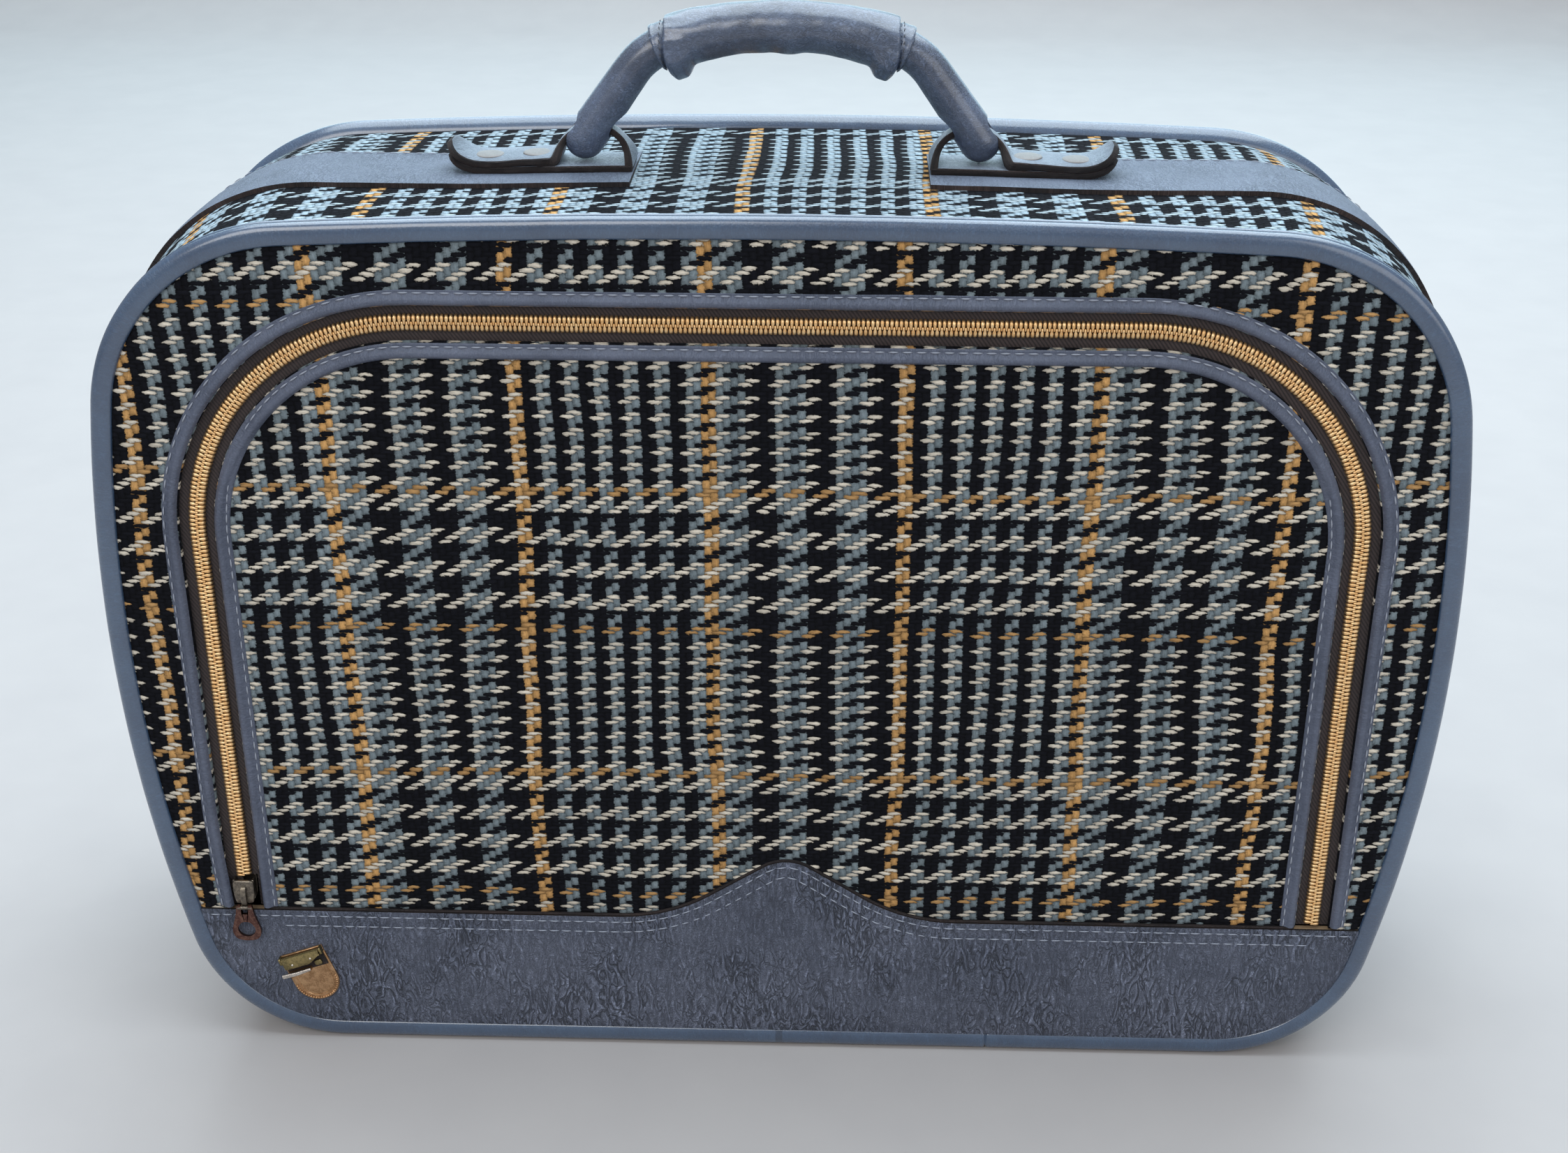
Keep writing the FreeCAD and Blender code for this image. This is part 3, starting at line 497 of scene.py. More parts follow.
def tweed(name, warp0, warp, weft0, weft, gold_weft=1.0, blue=BLUE, cream=CREAM):
    """Two-by-two twill in a check: sections of four-and-four and two-and-two threads, parted by
    pairs of mustard threads. warp0 and weft0 are where a mustard pair starts; warp and weft the pitches."""
    k = Look(name, roughness=0.95, specular_ior_level=0.12)
    a, b, _ = k.xyz()
    low = k.noise((0.012, 0.012, 0.012), 2.0)
    low2 = k.noise((0.013, 0.013, 0.013), 2.0, move=(311.0, 77.0, 9.0))
    fuzz = k.noise((0.5, 1.3, 1.0), 4.0, 0.75)
    fuzz2 = k.noise((0.42, 0.6, 1.0), 4.0, 0.7, move=(57.0, 33.0, 5.0))
    # thread numbers i and j, and the place fx, fz within a thread; the noises let the threads drift
    i_at = (a + (low - 0.5) * 7.0 + (fuzz - 0.5) * 2.7 - (warp0 - warp)) / warp
    j_at = (b + (low2 - 0.5) * 6.0 + (fuzz2 - 0.5) * 1.9 - (weft0 - weft)) / weft
    i, j = i_at.floor(), j_at.floor()
    fx, fz = i_at - i, j_at - j
    cell = (i - j + 1.0).mod(4.0)
    over = cell < 2.0
    # colour of each warp
    s, q = i.mod(SECTION * 2), i.mod(SECTION)
    wide = ((q - 2.0).mod(8.0) < 4.0) * (s < SECTION)
    fine = ((q - 2.0).mod(4.0) > 1.5) * (s > SECTION - 0.5)
    warp_pale, warp_gold = wide + fine, q < 2.0
    # colour of each weft
    s = j.mod(WEFT_FINE + WEFT_WIDE)
    fine = ((s - 2.0).mod(4.0) < 2.0) * (s < WEFT_FINE)
    wide = ((s - (WEFT_FINE + 2.0)).mod(8.0) > 3.5) * (s > WEFT_FINE - 0.5)
    weft_pale = fine + wide
    weft_gold = (s < 2.0) + ((s - WEFT_FINE).abs() < 1.5) * (s > WEFT_FINE - 0.5)
    vary_i = k.random(i, 0.37) * 0.3 + 0.85
    vary_j = k.random(j, 7.7) * 0.3 + 0.85
    along_weft = k.noise((0.35, 3.2, 1.0), 3.0, 0.65)
    along_warp = k.noise((2.4, 0.5, 1.0), 3.0, 0.65, move=(13.0, 5.0, 2.0))
    warp_col = k.mix(warp_gold, k.mix(warp_pale, INK, blue), MUSTARD)
    weft_col = k.mix(weft_gold * gold_weft, k.mix(weft_pale, INK, cream), OCHRE)
    if not gold_weft:
        weft_col = k.mix(weft_gold, weft_col, cream)
    warp_col = k.shade(warp_col, vary_i * (along_warp * 1.1 + 0.45))
    weft_col = k.shade(weft_col, vary_j * (along_weft * 0.9 + 0.55))
    # each thread is fat in the middle of its float and thin where it dives
    sw = ((fx + cell) * (math.pi / 2)).sin()
    sv = ((fz - cell + 3.0) * (math.pi / 2)).sin()
    tz, tx = (fz - 0.5).abs(), (fx - 0.5).abs()
    weft_on = k.step(sw.abs().pow(0.7) * 0.42 + 0.11 + weft_pale.flip() * 0.16 + (fuzz2 - 0.5) * 0.5 - tz, 0.0, 0.08)
    warp_on = k.step(sv.abs().pow(0.5) * 0.3 + 0.34 - tx, 0.0, 0.1)
    # where a thread thins, the thread beneath shows painted darker: painted shade between the threads
    seen_weft = k.mix(weft_on, k.shade(warp_col, 0.72), weft_col)
    seen_warp = k.mix(warp_on, k.shade(warp_col, 0.5), warp_col)
    colour = k.mix(over, seen_warp, seen_weft)
    h_weft = sw.abs().pow(0.5) * (tz * tz * -2.6 + 1.0) * weft_on
    h_warp = sv.abs().pow(0.5) * (tx * tx * -2.2 + 1.0) * warp_on * 0.72
    height = h_weft * over + h_warp * over.flip() + (fuzz * 0.4)
    # the colour is painted darker where the weave is low: painted shade in its hollows
    return k.done(k.shade(colour, height * 0.5 + 0.5), height, 0.8)


def vinyl(name, colour, dark, coords="cloth", wrinkle=1.0, rough=0.5, grain=(0.42, 0.13, 0.42), depth=0.42,
          **gloss):
    """Crushed leather-grain vinyl, faintly mottled, with patches of short wrinkles along the second axis."""
    k = Look(name, coords=coords, roughness=rough, specular_ior_level=0.4, **gloss)
    mottle = k.noise((0.02, 0.02, 0.02), 5.0, 0.7)
    where = k.step(k.noise((0.03, 0.022, 0.03), 3.0, 0.6, move=(91.0, 12.0, 44.0)), 0.38, 0.62)
    n = k.noise(grain, 2.4, 0.5, 1.8)
    crease = ((n - 0.5).abs() * -14.0 + 1.0).clip()
    # a pale line beside each crease, where its lip catches the light
    beside = k.noise(grain, 2.4, 0.5, 1.8, move=(0.9, 0.15, 0.3))
    lit = ((beside - 0.5).abs() * -14.0 + 1.0).clip() * crease.flip()
    n2 = k.noise(tuple(g * 2.3 for g in grain), 4.0, 0.65, 1.2)
    fine = ((n2 - 0.5).abs() * -7.0 + 1.0).clip()
    pore = k.cells((1.5, 1.2, 1.5))
    amount = where * 0.8 + 0.25
    base = k.mix(k.step(mottle + (n2 - 0.5) * 0.35, 0.34, 0.66), dark, colour)
    # the colour is painted darker in the creases and fine wrinkles (painted shade) and paler along the line beside
    # each crease (painted highlight)
    base = k.shade(base, (crease * amount * (-0.38 * wrinkle) + 1.0) * (lit * amount * (0.55 * wrinkle) + 1.0)
                   * (fine * -0.2 + 1.05))
    height = (n * 2.2 - crease * 1.1) * amount * wrinkle - fine * (0.5 * wrinkle) + pore * (0.25 + 0.25 * wrinkle)
    return k.done(base, height, depth, n2 * 0.3 + crease * 0.15 + (rough - 0.15))


def thread(name, colour):
    k = Look(name, coords="object", roughness=0.75, sheen_weight=0.3)
    twist = k.noise((2.2, 2.2, 2.2), 2.0)
    return k.done(k.shade(k.mix(twist, colour, tuple(c * 0.7 for c in colour)), twist * 0.4 + 0.75), twist, 0.1)


def metal(name, colour, worn, rough, scale):
    k = Look(name, coords="object", roughness=rough, metallic=1.0)
    patina = k.noise((scale,) * 3, 5.0, 0.7, 0.4)
    speck = k.noise((scale * 6,) * 3, 3.0, 0.6)
    mask = k.step(patina * 0.7 + speck * 0.3, 0.4, 0.62)
    return k.done(k.mix(mask, colour, worn), patina + speck * 0.8, 0.10, mask * -0.15 + (rough + 0.08))


def woven(name, colour, dark, pitch, coords="object", slant=1.0):
    """Fine plain or ribbed cloth for tapes and linings."""
    k = Look(name, coords=coords, roughness=0.85, sheen_weight=0.2)
    a, b, c = k.xyz()
    u, v = (a + c * 0.7 + b * slant) * (math.pi / pitch), (b - a * slant * 0.6 + c * 0.5) * (math.pi / pitch)
    rib, cross = u.sin().abs(), v.sin().abs()
    n = k.noise((0.05, 0.05, 0.05), 3.0)
    height = rib * 0.7 + cross * 0.3
    # the colour is painted darker in the grooves between the ribs: painted shade
    return k.done(k.shade(k.mix(rib, dark, colour), n * 0.5 + 0.75), height, 0.25)


def plain(name, colour, rough=0.8, metallic=0.0):
    """Bare board, lacquer and drawn wire."""
    k = Look(name, coords="object", roughness=rough, metallic=metallic)
    n = k.noise((0.3, 0.3, 0.3), 5.0, 0.7)
    fibre = k.noise((2.0, 0.4, 2.0), 3.0)
    dyed = k.mix(n, colour, tuple(c * 0.6 for c in colour))
    return k.done(k.shade(dyed, fibre * 0.5 + 0.75), n + fibre * 0.5, 0.12)


SATIN = dict(coat_weight=0.7, coat_roughness=0.26, coat_ior=1.8)
M = {
    "flap": tweed("tweed_flap", -168.0, 2.77, 135.0, 1.72),
    "border": tweed("tweed_border", -170.5, 2.785, 140.0, 1.745),
    # the gusset's blue warps are paler and its cream wefts bluish: painted bluish light from above
    "side": tweed("tweed_gusset_painted_glare", -83.0, 2.70, -14.0, 1.72, gold_weft=0.0, blue=srgb(150, 168, 180),
                  cream=srgb(160, 174, 182)),
    "back": tweed("tweed_back", -168.0, 2.77, 128.0, 1.72),
    "base": vinyl("vinyl_base", srgb(112, 119, 138), srgb(93, 100, 118), wrinkle=1.5, rough=0.46,
                  grain=(0.24, 0.08, 0.24), depth=0.9),
    "strip": vinyl("vinyl_strip", srgb(97, 106, 123), srgb(83, 92, 108), wrinkle=0.35, rough=0.6),
    "welt": vinyl("vinyl_welt", srgb(61, 83, 110), srgb(51, 70, 96), wrinkle=0.12, rough=0.34, coat_weight=1.0,
                  coat_roughness=0.2, coat_ior=1.7),
    "piping": vinyl("vinyl_piping", srgb(90, 97, 115), srgb(75, 82, 99), wrinkle=0.2, rough=0.42),
    "handle": vinyl("vinyl_handle", srgb(92, 106, 133), srgb(57, 67, 89), "object", 0.6, 0.36, (0.34, 0.38, 0.34),
                    **SATIN),
    "grip": vinyl("vinyl_grip", srgb(88, 102, 128), srgb(58, 68, 89), wrinkle=0.7, rough=0.36,
                  grain=(0.26, 0.38, 0.3), depth=0.45, **SATIN),
    "strap": vinyl("leather_strap", srgb(118, 128, 142), srgb(96, 106, 120), wrinkle=0.3, rough=0.4,
                   grain=(0.4, 0.4, 0.4)),
    "cut": vinyl("leather_cut_edge", srgb(60, 48, 46), srgb(30, 27, 30), wrinkle=0.8, rough=0.75,
                 grain=(0.25, 0.8, 0.8)),
    "thread": thread("thread", srgb(154, 161, 176)),
    "dark_thread": thread("dark_thread", srgb(62, 66, 78)),
    "tape": woven("zip_tape", srgb(60, 50, 50), srgb(22, 18, 19), 1.5),
    "coil": metal("zip_coil", srgb(228, 184, 128), srgb(247, 216, 168), 0.42, 0.5),
    "bronze": metal("zip_bronze", srgb(84, 58, 54), srgb(128, 96, 84), 0.34, 0.4),
    "slider": metal("slider_metal", srgb(92, 86, 80), srgb(140, 130, 116), 0.4, 0.4),
    "brass": metal("lock_brass", srgb(160, 124, 90), srgb(206, 166, 126), 0.42, 0.35),
    "olive": metal("lock_cover_brass", srgb(112, 102, 72), srgb(160, 142, 98), 0.36, 0.3),
    # pale metal: on the lock's lip it is a painted highlight on the brass; the cover studs use it too
    "lip": metal("lip_painted_highlight", srgb(188, 178, 168), srgb(222, 214, 204), 0.3, 0.4),
    "rivet": plain("rivet_lacquer", srgb(120, 116, 114), 0.5),
    "lining": woven("lining_cloth", srgb(120, 128, 148), srgb(84, 92, 112), 0.9, "cloth", 0.0),
    "board": plain("fibreboard", srgb(150, 126, 98)),
    "steel": plain("drawn_steel", srgb(150, 150, 156), 0.35, 1.0),
}

# ---------------------------------------------------------------- piping round the front and back
# (outwards, inwards from the face): two round ridges with a groove between, then the sewn lip
WELT_PROFILE = [(-8.5, 2.2), (-8.35, 0.95), (-7.6, 0.3), (-6.0, 0.06), (-4.4, 0.0), (-3.0, 0.12), (-1.9, 0.5),
                (-1.05, 1.05), (-0.5, 1.75), (-0.25, 2.5), (-0.3, 3.2), (-0.6, 3.65), (-1.15, 3.9), (-1.15, 4.1),
                (-0.5, 4.35), (-0.1, 4.85), (0.0, 5.4), (-0.25, 6.1), (-0.85, 6.9), (-1.6, 7.7), (-2.4, 8.4),
                (-3.3, 9.0), (-4.3, 9.5), (-5.2, 9.6), (-5.6, 9.2), (-6.4, 8.5), (-8.4, 8.5)]
WELT_MIDDLE = (-4.3, 4.3)
WELT_BUTT = 90.0                # where the two ends of the piping meet, on the floor


def welt(name, node, y0, turn):
    half = OUTLINE.half
    butt = half - WELT_BUTT
    s = np.unique(np.concatenate([stations(-half, half, 3.0), butt + np.linspace(-1.2, 1.2, 9)]))[:-1]
    profile = np.tile(np.array(WELT_PROFILE), (len(s), 1, 1))
    gap = np.exp(-((s - butt) / 0.45) ** 2) * 0.16
    profile = WELT_MIDDLE + (profile - WELT_MIDDLE) * (1 - gap)[:, None, None]
    rings = sweep(OUTLINE, s, profile, y0, turn)
    dent = wobble(rings, 26.0, 0.22, 3.0) + wobble(rings, 7.0, 0.07, 9.0)
    rings[..., 1] += dent * turn * 0.6
    rings[..., 2] = np.maximum(rings[..., 2] + dent * 0.5 * (rings[..., 2] > 2.0), 0.0)
    rod(name, "case", "vinyl", rings, "welt", wrap=True, cloth=ring_cloth(s, rings), sharp=50, replaces=[node])


welt("front_piping", "front_welt", FRONT, 1.0)
welt("rear_piping", "rear_welt", BACK, -1.0)

# ---------------------------------------------------------------- tweed and vinyl round the sides
SWELL = 5.4                     # most that the soft gusset stands out, at the upper corners
TWEED_DEPTH, STRIP_DEPTH = 4.2, 2.3     # faces of the gusset tweed and of the strip, inside the outline
STRIP_HALF = 57.0               # the strip ends this far from the middle, at each side of the handle
STRIP_HEM = 3.0                 # from the strip's rear edge to its stitches


def swell(s, y):
    """How far the gusset stands out between the pipings: most at the upper corners, none under the handle."""
    d = np.abs(np.asarray(s, float))
    rise, fall = np.clip((d - 100) / 150, 0, 1), np.clip((d - 330) / 330, 0, 1)
    t = np.clip((y - GUSSET_Y0) / (GUSSET_Y1 - GUSSET_Y0), 0, 1)
    return (SWELL * ease(rise) * (1 - ease(fall)))[:, None] * np.sin(np.pi * t)[None, :] ** 0.8


def band(name, slot, depth, s, y, looks, back, replaces, puff=0.0, rim=False, ripple=0.12, drop=0.4, tilt=0.0):
    """A band of cloth laid round the case at a depth inside the outline."""
    t = np.linspace(0, 1, len(y))
    p, n = OUTLINE.at(s)
    flat = upright(p[:, None], np.tile(y, (len(s), 1)))
    belly = puff * np.sin(np.pi * t) ** 0.7 - drop * (np.abs(2 * t - 1) ** 12) + tilt * (1 - 2 * t)
    height = (-depth + belly[None, :] + swell(s, y) + wobble(flat, 30.0, ripple)
              + wobble(flat, 9.0, ripple * 0.5, 5.0))
    normal = upright(n)[:, None, :]
    grid = flat + normal * height[..., None]
    grid[..., 2] = np.maximum(grid[..., 2], 0.5)
    panel(name, "case", slot, grid, -normal * back, looks, replaces, (y[-1] - y[0], s[-1] - s[0]),
          rim=rim, cloth=laid(s, y))


band("side_tweed", "tweed", TWEED_DEPTH, stations(-OUTLINE.half, OUTLINE.half, 4.0),
     np.linspace(GUSSET_Y0 - 0.4, GUSSET_Y1 + 0.4, 30), "side", 1.2, ["gusset_tweed"], puff=0.7)
# distance along the outline from the top to the point above the strip's end
STRIP_S = float(np.interp(STRIP_HALF, OUTLINE.p[:200, 0], OUTLINE.s[:200]))
for side, word in ((1, "right"), (-1, "left")):
    ends = sorted((side * STRIP_S, side * (OUTLINE.half - 0.2)))
    band("side_strip_" + word, "vinyl", STRIP_DEPTH, stations(*ends, 4.0), np.linspace(STRIP_Y0, STRIP_Y1, 14),
         "strip cut", 3.2, ["gusset_strip"], rim=True, ripple=0.15, drop=0.2, tilt=0.8)
    s = stations(ends[0] + 3, ends[1] - 3, STITCH_PITCH)
    seam = STRIP_Y1 - STRIP_HEM
    p, n = OUTLINE.at(s, -2.85 + swell(s, np.array([seam]))[:, 0])
    stitches("side_stitches_" + word, "case", upright(p, seam), upright(unit(np.gradient(p, axis=0))), upright(n),
             "thread", 3.7, 0.22)


# ---------------------------------------------------------------- front and back tweed
def flap_grid(low, offset, columns, step=4.0):
    """Points inside the zip line, moved by offset, from the height low upwards."""
    x, top, r = ZIP_X + offset, ZIP_TOP + offset, ZIP_R + offset
    turn = np.linspace(0, math.pi / 2, 22)[1:]
    z = np.concatenate([stations(low, top - r, step), top - r + np.sin(turn) * r])
    rise = np.clip(z - (top - r), 0, r)
    w = x - r + np.sqrt(np.maximum(r * r - rise * rise, 0))
    x = w[:, None] * np.linspace(-1, 1, columns)
    return np.stack([x, 0 * x, np.repeat(z[:, None], columns, 1)], -1)


def hem(grid, depth, width):
    """How far a panel rises towards its middle: 0 at its edges and depth a little way in."""
    x, z = grid[..., 0], grid[..., 2]
    w = np.abs(x).max(axis=1, keepdims=True)
    side = np.minimum(np.minimum(w - np.abs(x), z - z.min()), z.max() - z)
    return depth * (1 - np.exp(-np.maximum(side, 0) / width))


def hit_outline(p, n, inset):
    """How far along n each point p is from the outline moved inwards by inset."""
    q, _ = OUTLINE.at(stations(-OUTLINE.half, OUTLINE.half, 1.0), -inset)
    a, d = q[:-1], np.diff(q, axis=0)
    out = []
    for point, direction in zip(p, n):
        den = d[:, 0] * direction[1] - d[:, 1] * direction[0]
        den = np.where(np.abs(den) < 1e-9, 1e-9, den)
        r = a - point
        t = (d[:, 0] * r[:, 1] - d[:, 1] * r[:, 0]) / den
        u = (direction[0] * r[:, 1] - direction[1] * r[:, 0]) / den
        good = (t > 0) & (u >= -1e-6) & (u <= 1 + 1e-6)
        out.append(t[good].min())
    return np.array(out)


def border_grid(step, rows, off_zip, inset):
    """Strip round the zip as far as the piping, with its shares of the way out and its cut size."""
    inner, n = ZIP.at(stations(-ZIP.half, ZIP.half, step), off_zip)
    reach = hit_outline(inner, n, inset)
    t = np.linspace(0, 1, rows)
    grid = upright(inner[:, None] + n[:, None] * (reach[:, None] * t)[..., None])
    return grid, t, (reach.max(), ZIP.half * 2)


def back_grid(step, t, inset, bow=1.0):
    """Rings from the middle of the back out to the outline moved inwards by inset."""
    rim, _ = OUTLINE.at(stations(-OUTLINE.half, OUTLINE.half, step)[:-1], -inset)
    centre = np.array([0.0, HEIGHT / 2])
    return upright(centre + (rim - centre)[:, None] * t[None, :, None] ** bow)


def flap_tweed():
    grid = flap_grid(FOLD_Z + 0.7, -TWEED_OFF_ZIP, 109)
    grid[..., 1] = FACE + 0.5 - hem(grid, 1.0, 14.0) - wobble(grid, 46.0, 0.7, 2.0) * hem(grid, 1.0, 30.0)
    panel("flap_tweed", "flap", "tweed", grid, [0, 1.6, 0], "flap", ["flap_panel"])


def border_tweed():
    grid, t, size = border_grid(4.0, 12, TWEED_OFF_ZIP, TWEED_INSET)
    rise = 1.0 - np.abs(2 * t - 1) ** 6
    grid[..., 1] = FACE + 0.5 - rise * 0.8 - wobble(grid, 34.0, 0.35, 7.0) * rise
    panel("border_tweed", "case", "tweed", grid, [0, 1.6, 0], "border", ["front_border_panel"],
          size)


def back_tweed():
    t = np.concatenate([np.linspace(0, 0.9, 28), [0.94, 0.97, 1.0]])
    grid = back_grid(5.0, t, TWEED_INSET, 0.95)
    rise = 1 - t ** 10
    grid[..., 1] = REAR - 0.6 + rise * 1.0 + wobble(grid, 60.0, 0.5, 4.0) * rise
    panel("back_tweed", "case", "tweed", grid, [0, -1.2, 0], "back", ["back_panel"], wrap=True)


flap_tweed()
border_tweed()
back_tweed()

# ---------------------------------------------------------------- vinyl base with its peak
PEAK_X = 4.5                # the peak stands a little to the right of the middle
PEAK_Z, PEAK_TIP_R, PEAK_FOOT_R, PEAK_SLOPE = 94.0, 17.0, 70.0, math.radians(33)
SEAM_DROPS = (2.6, 7.5)     # the two rows of stitches, below the top edge


def peak_height(x):
    """Top edge of the vinyl above x."""
    s, c = math.sin(PEAK_SLOPE), math.cos(PEAK_SLOPE)
    rise = PEAK_Z - FOLD_Z
    flank = (rise - (PEAK_TIP_R + PEAK_FOOT_R) * (1 - c)) / s
    foot = (PEAK_TIP_R + PEAK_FOOT_R) * s + flank * c
    x = np.abs(np.asarray(x, float) - PEAK_X)
    tip = PEAK_Z - PEAK_TIP_R + np.sqrt(np.maximum(PEAK_TIP_R ** 2 - x ** 2, 0))
    line = PEAK_Z - PEAK_TIP_R * (1 - c) - (x - PEAK_TIP_R * s) * s / c
    hollow = FOLD_Z + PEAK_FOOT_R - np.sqrt(np.maximum(PEAK_FOOT_R ** 2 - (foot - x) ** 2, 0))
    z = np.where(x < PEAK_TIP_R * s, tip, np.where(x < foot - PEAK_FOOT_R * s, line, hollow))
    return np.where(x > foot, FOLD_Z, z)


def base_columns():
    """Places of the vinyl's columns, closer together at the ends, and the height each starts at."""
    p, _ = OUTLINE.at(stations(0, OUTLINE.half, 0.5), -TWEED_INSET)
    low = p[p[:, 1] < FOLD_Z - 1.0]
    xs, zs = low[np.argsort(low[:, 0])].T
    t = np.linspace(-1, 1, 181)
    x = xs.max() * (0.75 * t + 0.25 * np.sin(t * math.pi / 2)) * (1 - 1e-4)
    return x, np.interp(np.abs(x), xs, zs)


def bend_with_flap(o):
    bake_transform(o)


def base_vinyl():
    x, low = base_columns()
    high = np.maximum(peak_height(x) - 0.05, low + 0.6)
    z = []
    for a, b in zip(low, high):
        body = np.linspace(a, min(b, FOLD_Z - 0.1), 24)
        fold = np.linspace(body[-1], min(b, FOLD_Z + 1.1), 6)[1:]
        z.append(np.concatenate([body, fold, np.linspace(fold[-1], b, 12)[1:]]))
    z = np.array(z)
    grid = np.stack([np.repeat(x[:, None], z.shape[1], 1), 0 * z, z], -1)
    drop = high[:, None] - z
    rise = 1 - np.exp(-np.maximum(np.minimum(drop, z - low[:, None]), 0) / 2.0)
    seam = sum(np.exp(-((drop - d) / 0.8) ** 2) for d in SEAM_DROPS)
    grid[..., 1] = VINYL_FRONT + 0.25 - 0.35 * rise + 0.22 * seam - wobble(grid, 22.0, 0.25, 6.0) * rise
    bend_with_flap(panel("base_vinyl", None, "vinyl", grid, [0, 1.0, 0], "base cut",
                         ["front_base_vinyl", "flap_peak_vinyl"], rim=True))


def along_edge(drop, x_from, x_to, pitch):
    """Evenly spaced points below the top edge of the vinyl, with their directions."""
    x = np.linspace(x_from, x_to, 4000)
    z = peak_height(x)
    slope = np.gradient(z, x)
    length = np.sqrt(1 + slope ** 2)
    px, pz = x + slope / length * drop, z - drop / length
    s = lengths(np.stack([px, pz], -1))
    at = stations(0, s[-1], pitch)
    points = np.stack([np.interp(at, s, px), 0 * at + (VINYL_FRONT + 0.12), np.interp(at, s, pz)], -1)
    return points, unit(np.gradient(points, axis=0))


def base_seams():
    for drop, x0, x1, word in ((SEAM_DROPS[0], -236, 236, "upper"), (SEAM_DROPS[1], -205, 219, "lower")):
        points, run_ = along_edge(drop, x0, x1, STITCH_PITCH)
        bend_with_flap(stitches("base_stitches_" + word, None, points, run_, np.tile((0, -1, 0), (len(points), 1)),
                                "thread", 4.2, 0.28))


def base_edge_shade():
    """Thin dark fold along the top edge of the vinyl, on the flap's side: the vinyl's dark folded edge, drawn wider
    as a painted shadow line between vinyl and tweed.
    """
    points, run_ = along_edge(-0.55, -215, 215, 3.0)
    points[:, 2] = np.maximum(points[:, 2], FOLD_Z + 0.75)
    a = circle(8)
    up = np.cross(run_, (0, 1, 0))
    rings = (points[:, None] + up[:, None] * (0.62 * np.cos(a))[None, :, None]
             + np.array([0, 1.0, 0]) * (0.55 * np.sin(a))[None, :, None])
    rings[..., 1] = rings[..., 1] - points[0, 1] + FACE - 0.25
    rod("base_edge_shade", "flap", "strap", rings, "cut", cloth=ring_cloth(points[:, 0], rings))


base_vinyl()
base_seams()
base_edge_shade()


# ---------------------------------------------------------------- pipings along the zip
PIPING_OFF = 7.2            # from the middle of the zip to the piping's near edge


def zip_piping(name, body, node, sign):
    """Vinyl strip beside the zip: a round cord and a sewn lip. sign is +1 outside the zip, -1 inside."""
    s = stations(-ZIP.half + 1.2, ZIP.half - 1.2, 3.0)
    p, _ = ZIP.at(s)
    leg = ease(np.clip((ZIP_TOP - 20 - p[:, 1]) / 60, 0, 1))
    t = np.linspace(0, 6.1, 15)
    # inside the zip the sewn lip changes sides on the top run
    cord = np.where(sign > 0, 2.0, 4.1 - 2.1 * leg)
    lip = np.where(sign > 0, 4.9, 1.3 + 3.6 * leg)
    ridge = 1.25 * np.exp(-(np.abs(t[None] - cord[:, None]) / 1.55) ** 3.2)
    base = 0.75 * (1 - (np.abs(t / 3.05 - 1)) ** 8)[None]
    groove = 0.3 * np.exp(-((t[None] - lip[:, None]) / 0.5) ** 2)
    # at the foot of its left leg the outer piping leans in towards the zip
    lean = 0 * s
    if sign > 0:
        lean = -2.1 * (np.clip((112 - p[:, 1]) / 46, 0, 1) * (p[:, 0] < 0)) ** 1.5
    front = np.stack([sign * (PIPING_OFF + t[None] + lean[:, None]), groove - base - ridge], -1)
    rear = np.stack([sign * (np.array([13.1, 10.2, 7.4])[None] + lean[:, None]), np.full((len(s), 3), 0.15)], -1)
    rings = sweep(ZIP, s, np.concatenate([front, rear], axis=1), FACE)
    rings[..., 1] += wobble(rings, 18.0, 0.14, 11.0)
    rod(name, body, "vinyl", rings, "piping", cloth=ring_cloth(s, rings), replaces=[node])
    at = stations(s[0] + 2, s[-1] - 2, STITCH_PITCH)
    q, _ = ZIP.at(at, sign * (PIPING_OFF + np.interp(at, s, lip) + np.interp(at, s, lean)))
    stitches(name + "_stitches", body, upright(q, FACE - 0.62), upright(unit(np.gradient(q, axis=0))),
             np.tile((0, -1, 0), (len(at), 1)), "thread", 3.7, 0.32)


zip_piping("outer_piping", "case", "outer_zip_piping", 1)
zip_piping("inner_piping", "flap", "inner_zip_piping", -1)

# ---------------------------------------------------------------- zip coil, slider and pull
CHAIN_START, CHAIN_END, COIL_PITCH = 80.6, 66.5, 1.73
# half a turn of the coil from the tape to its head: away from the zip's middle, inwards, radius
COIL_LINE = np.array([(3.0, 2.75, 0.30), (2.85, 1.75, 0.46), (2.2, 1.24, 0.52), (1.2, 1.16, 0.50),
                      (0.45, 1.08, 0.40), (-0.25, 1.0, 0.39), (-0.6, 1.2, 0.24)])


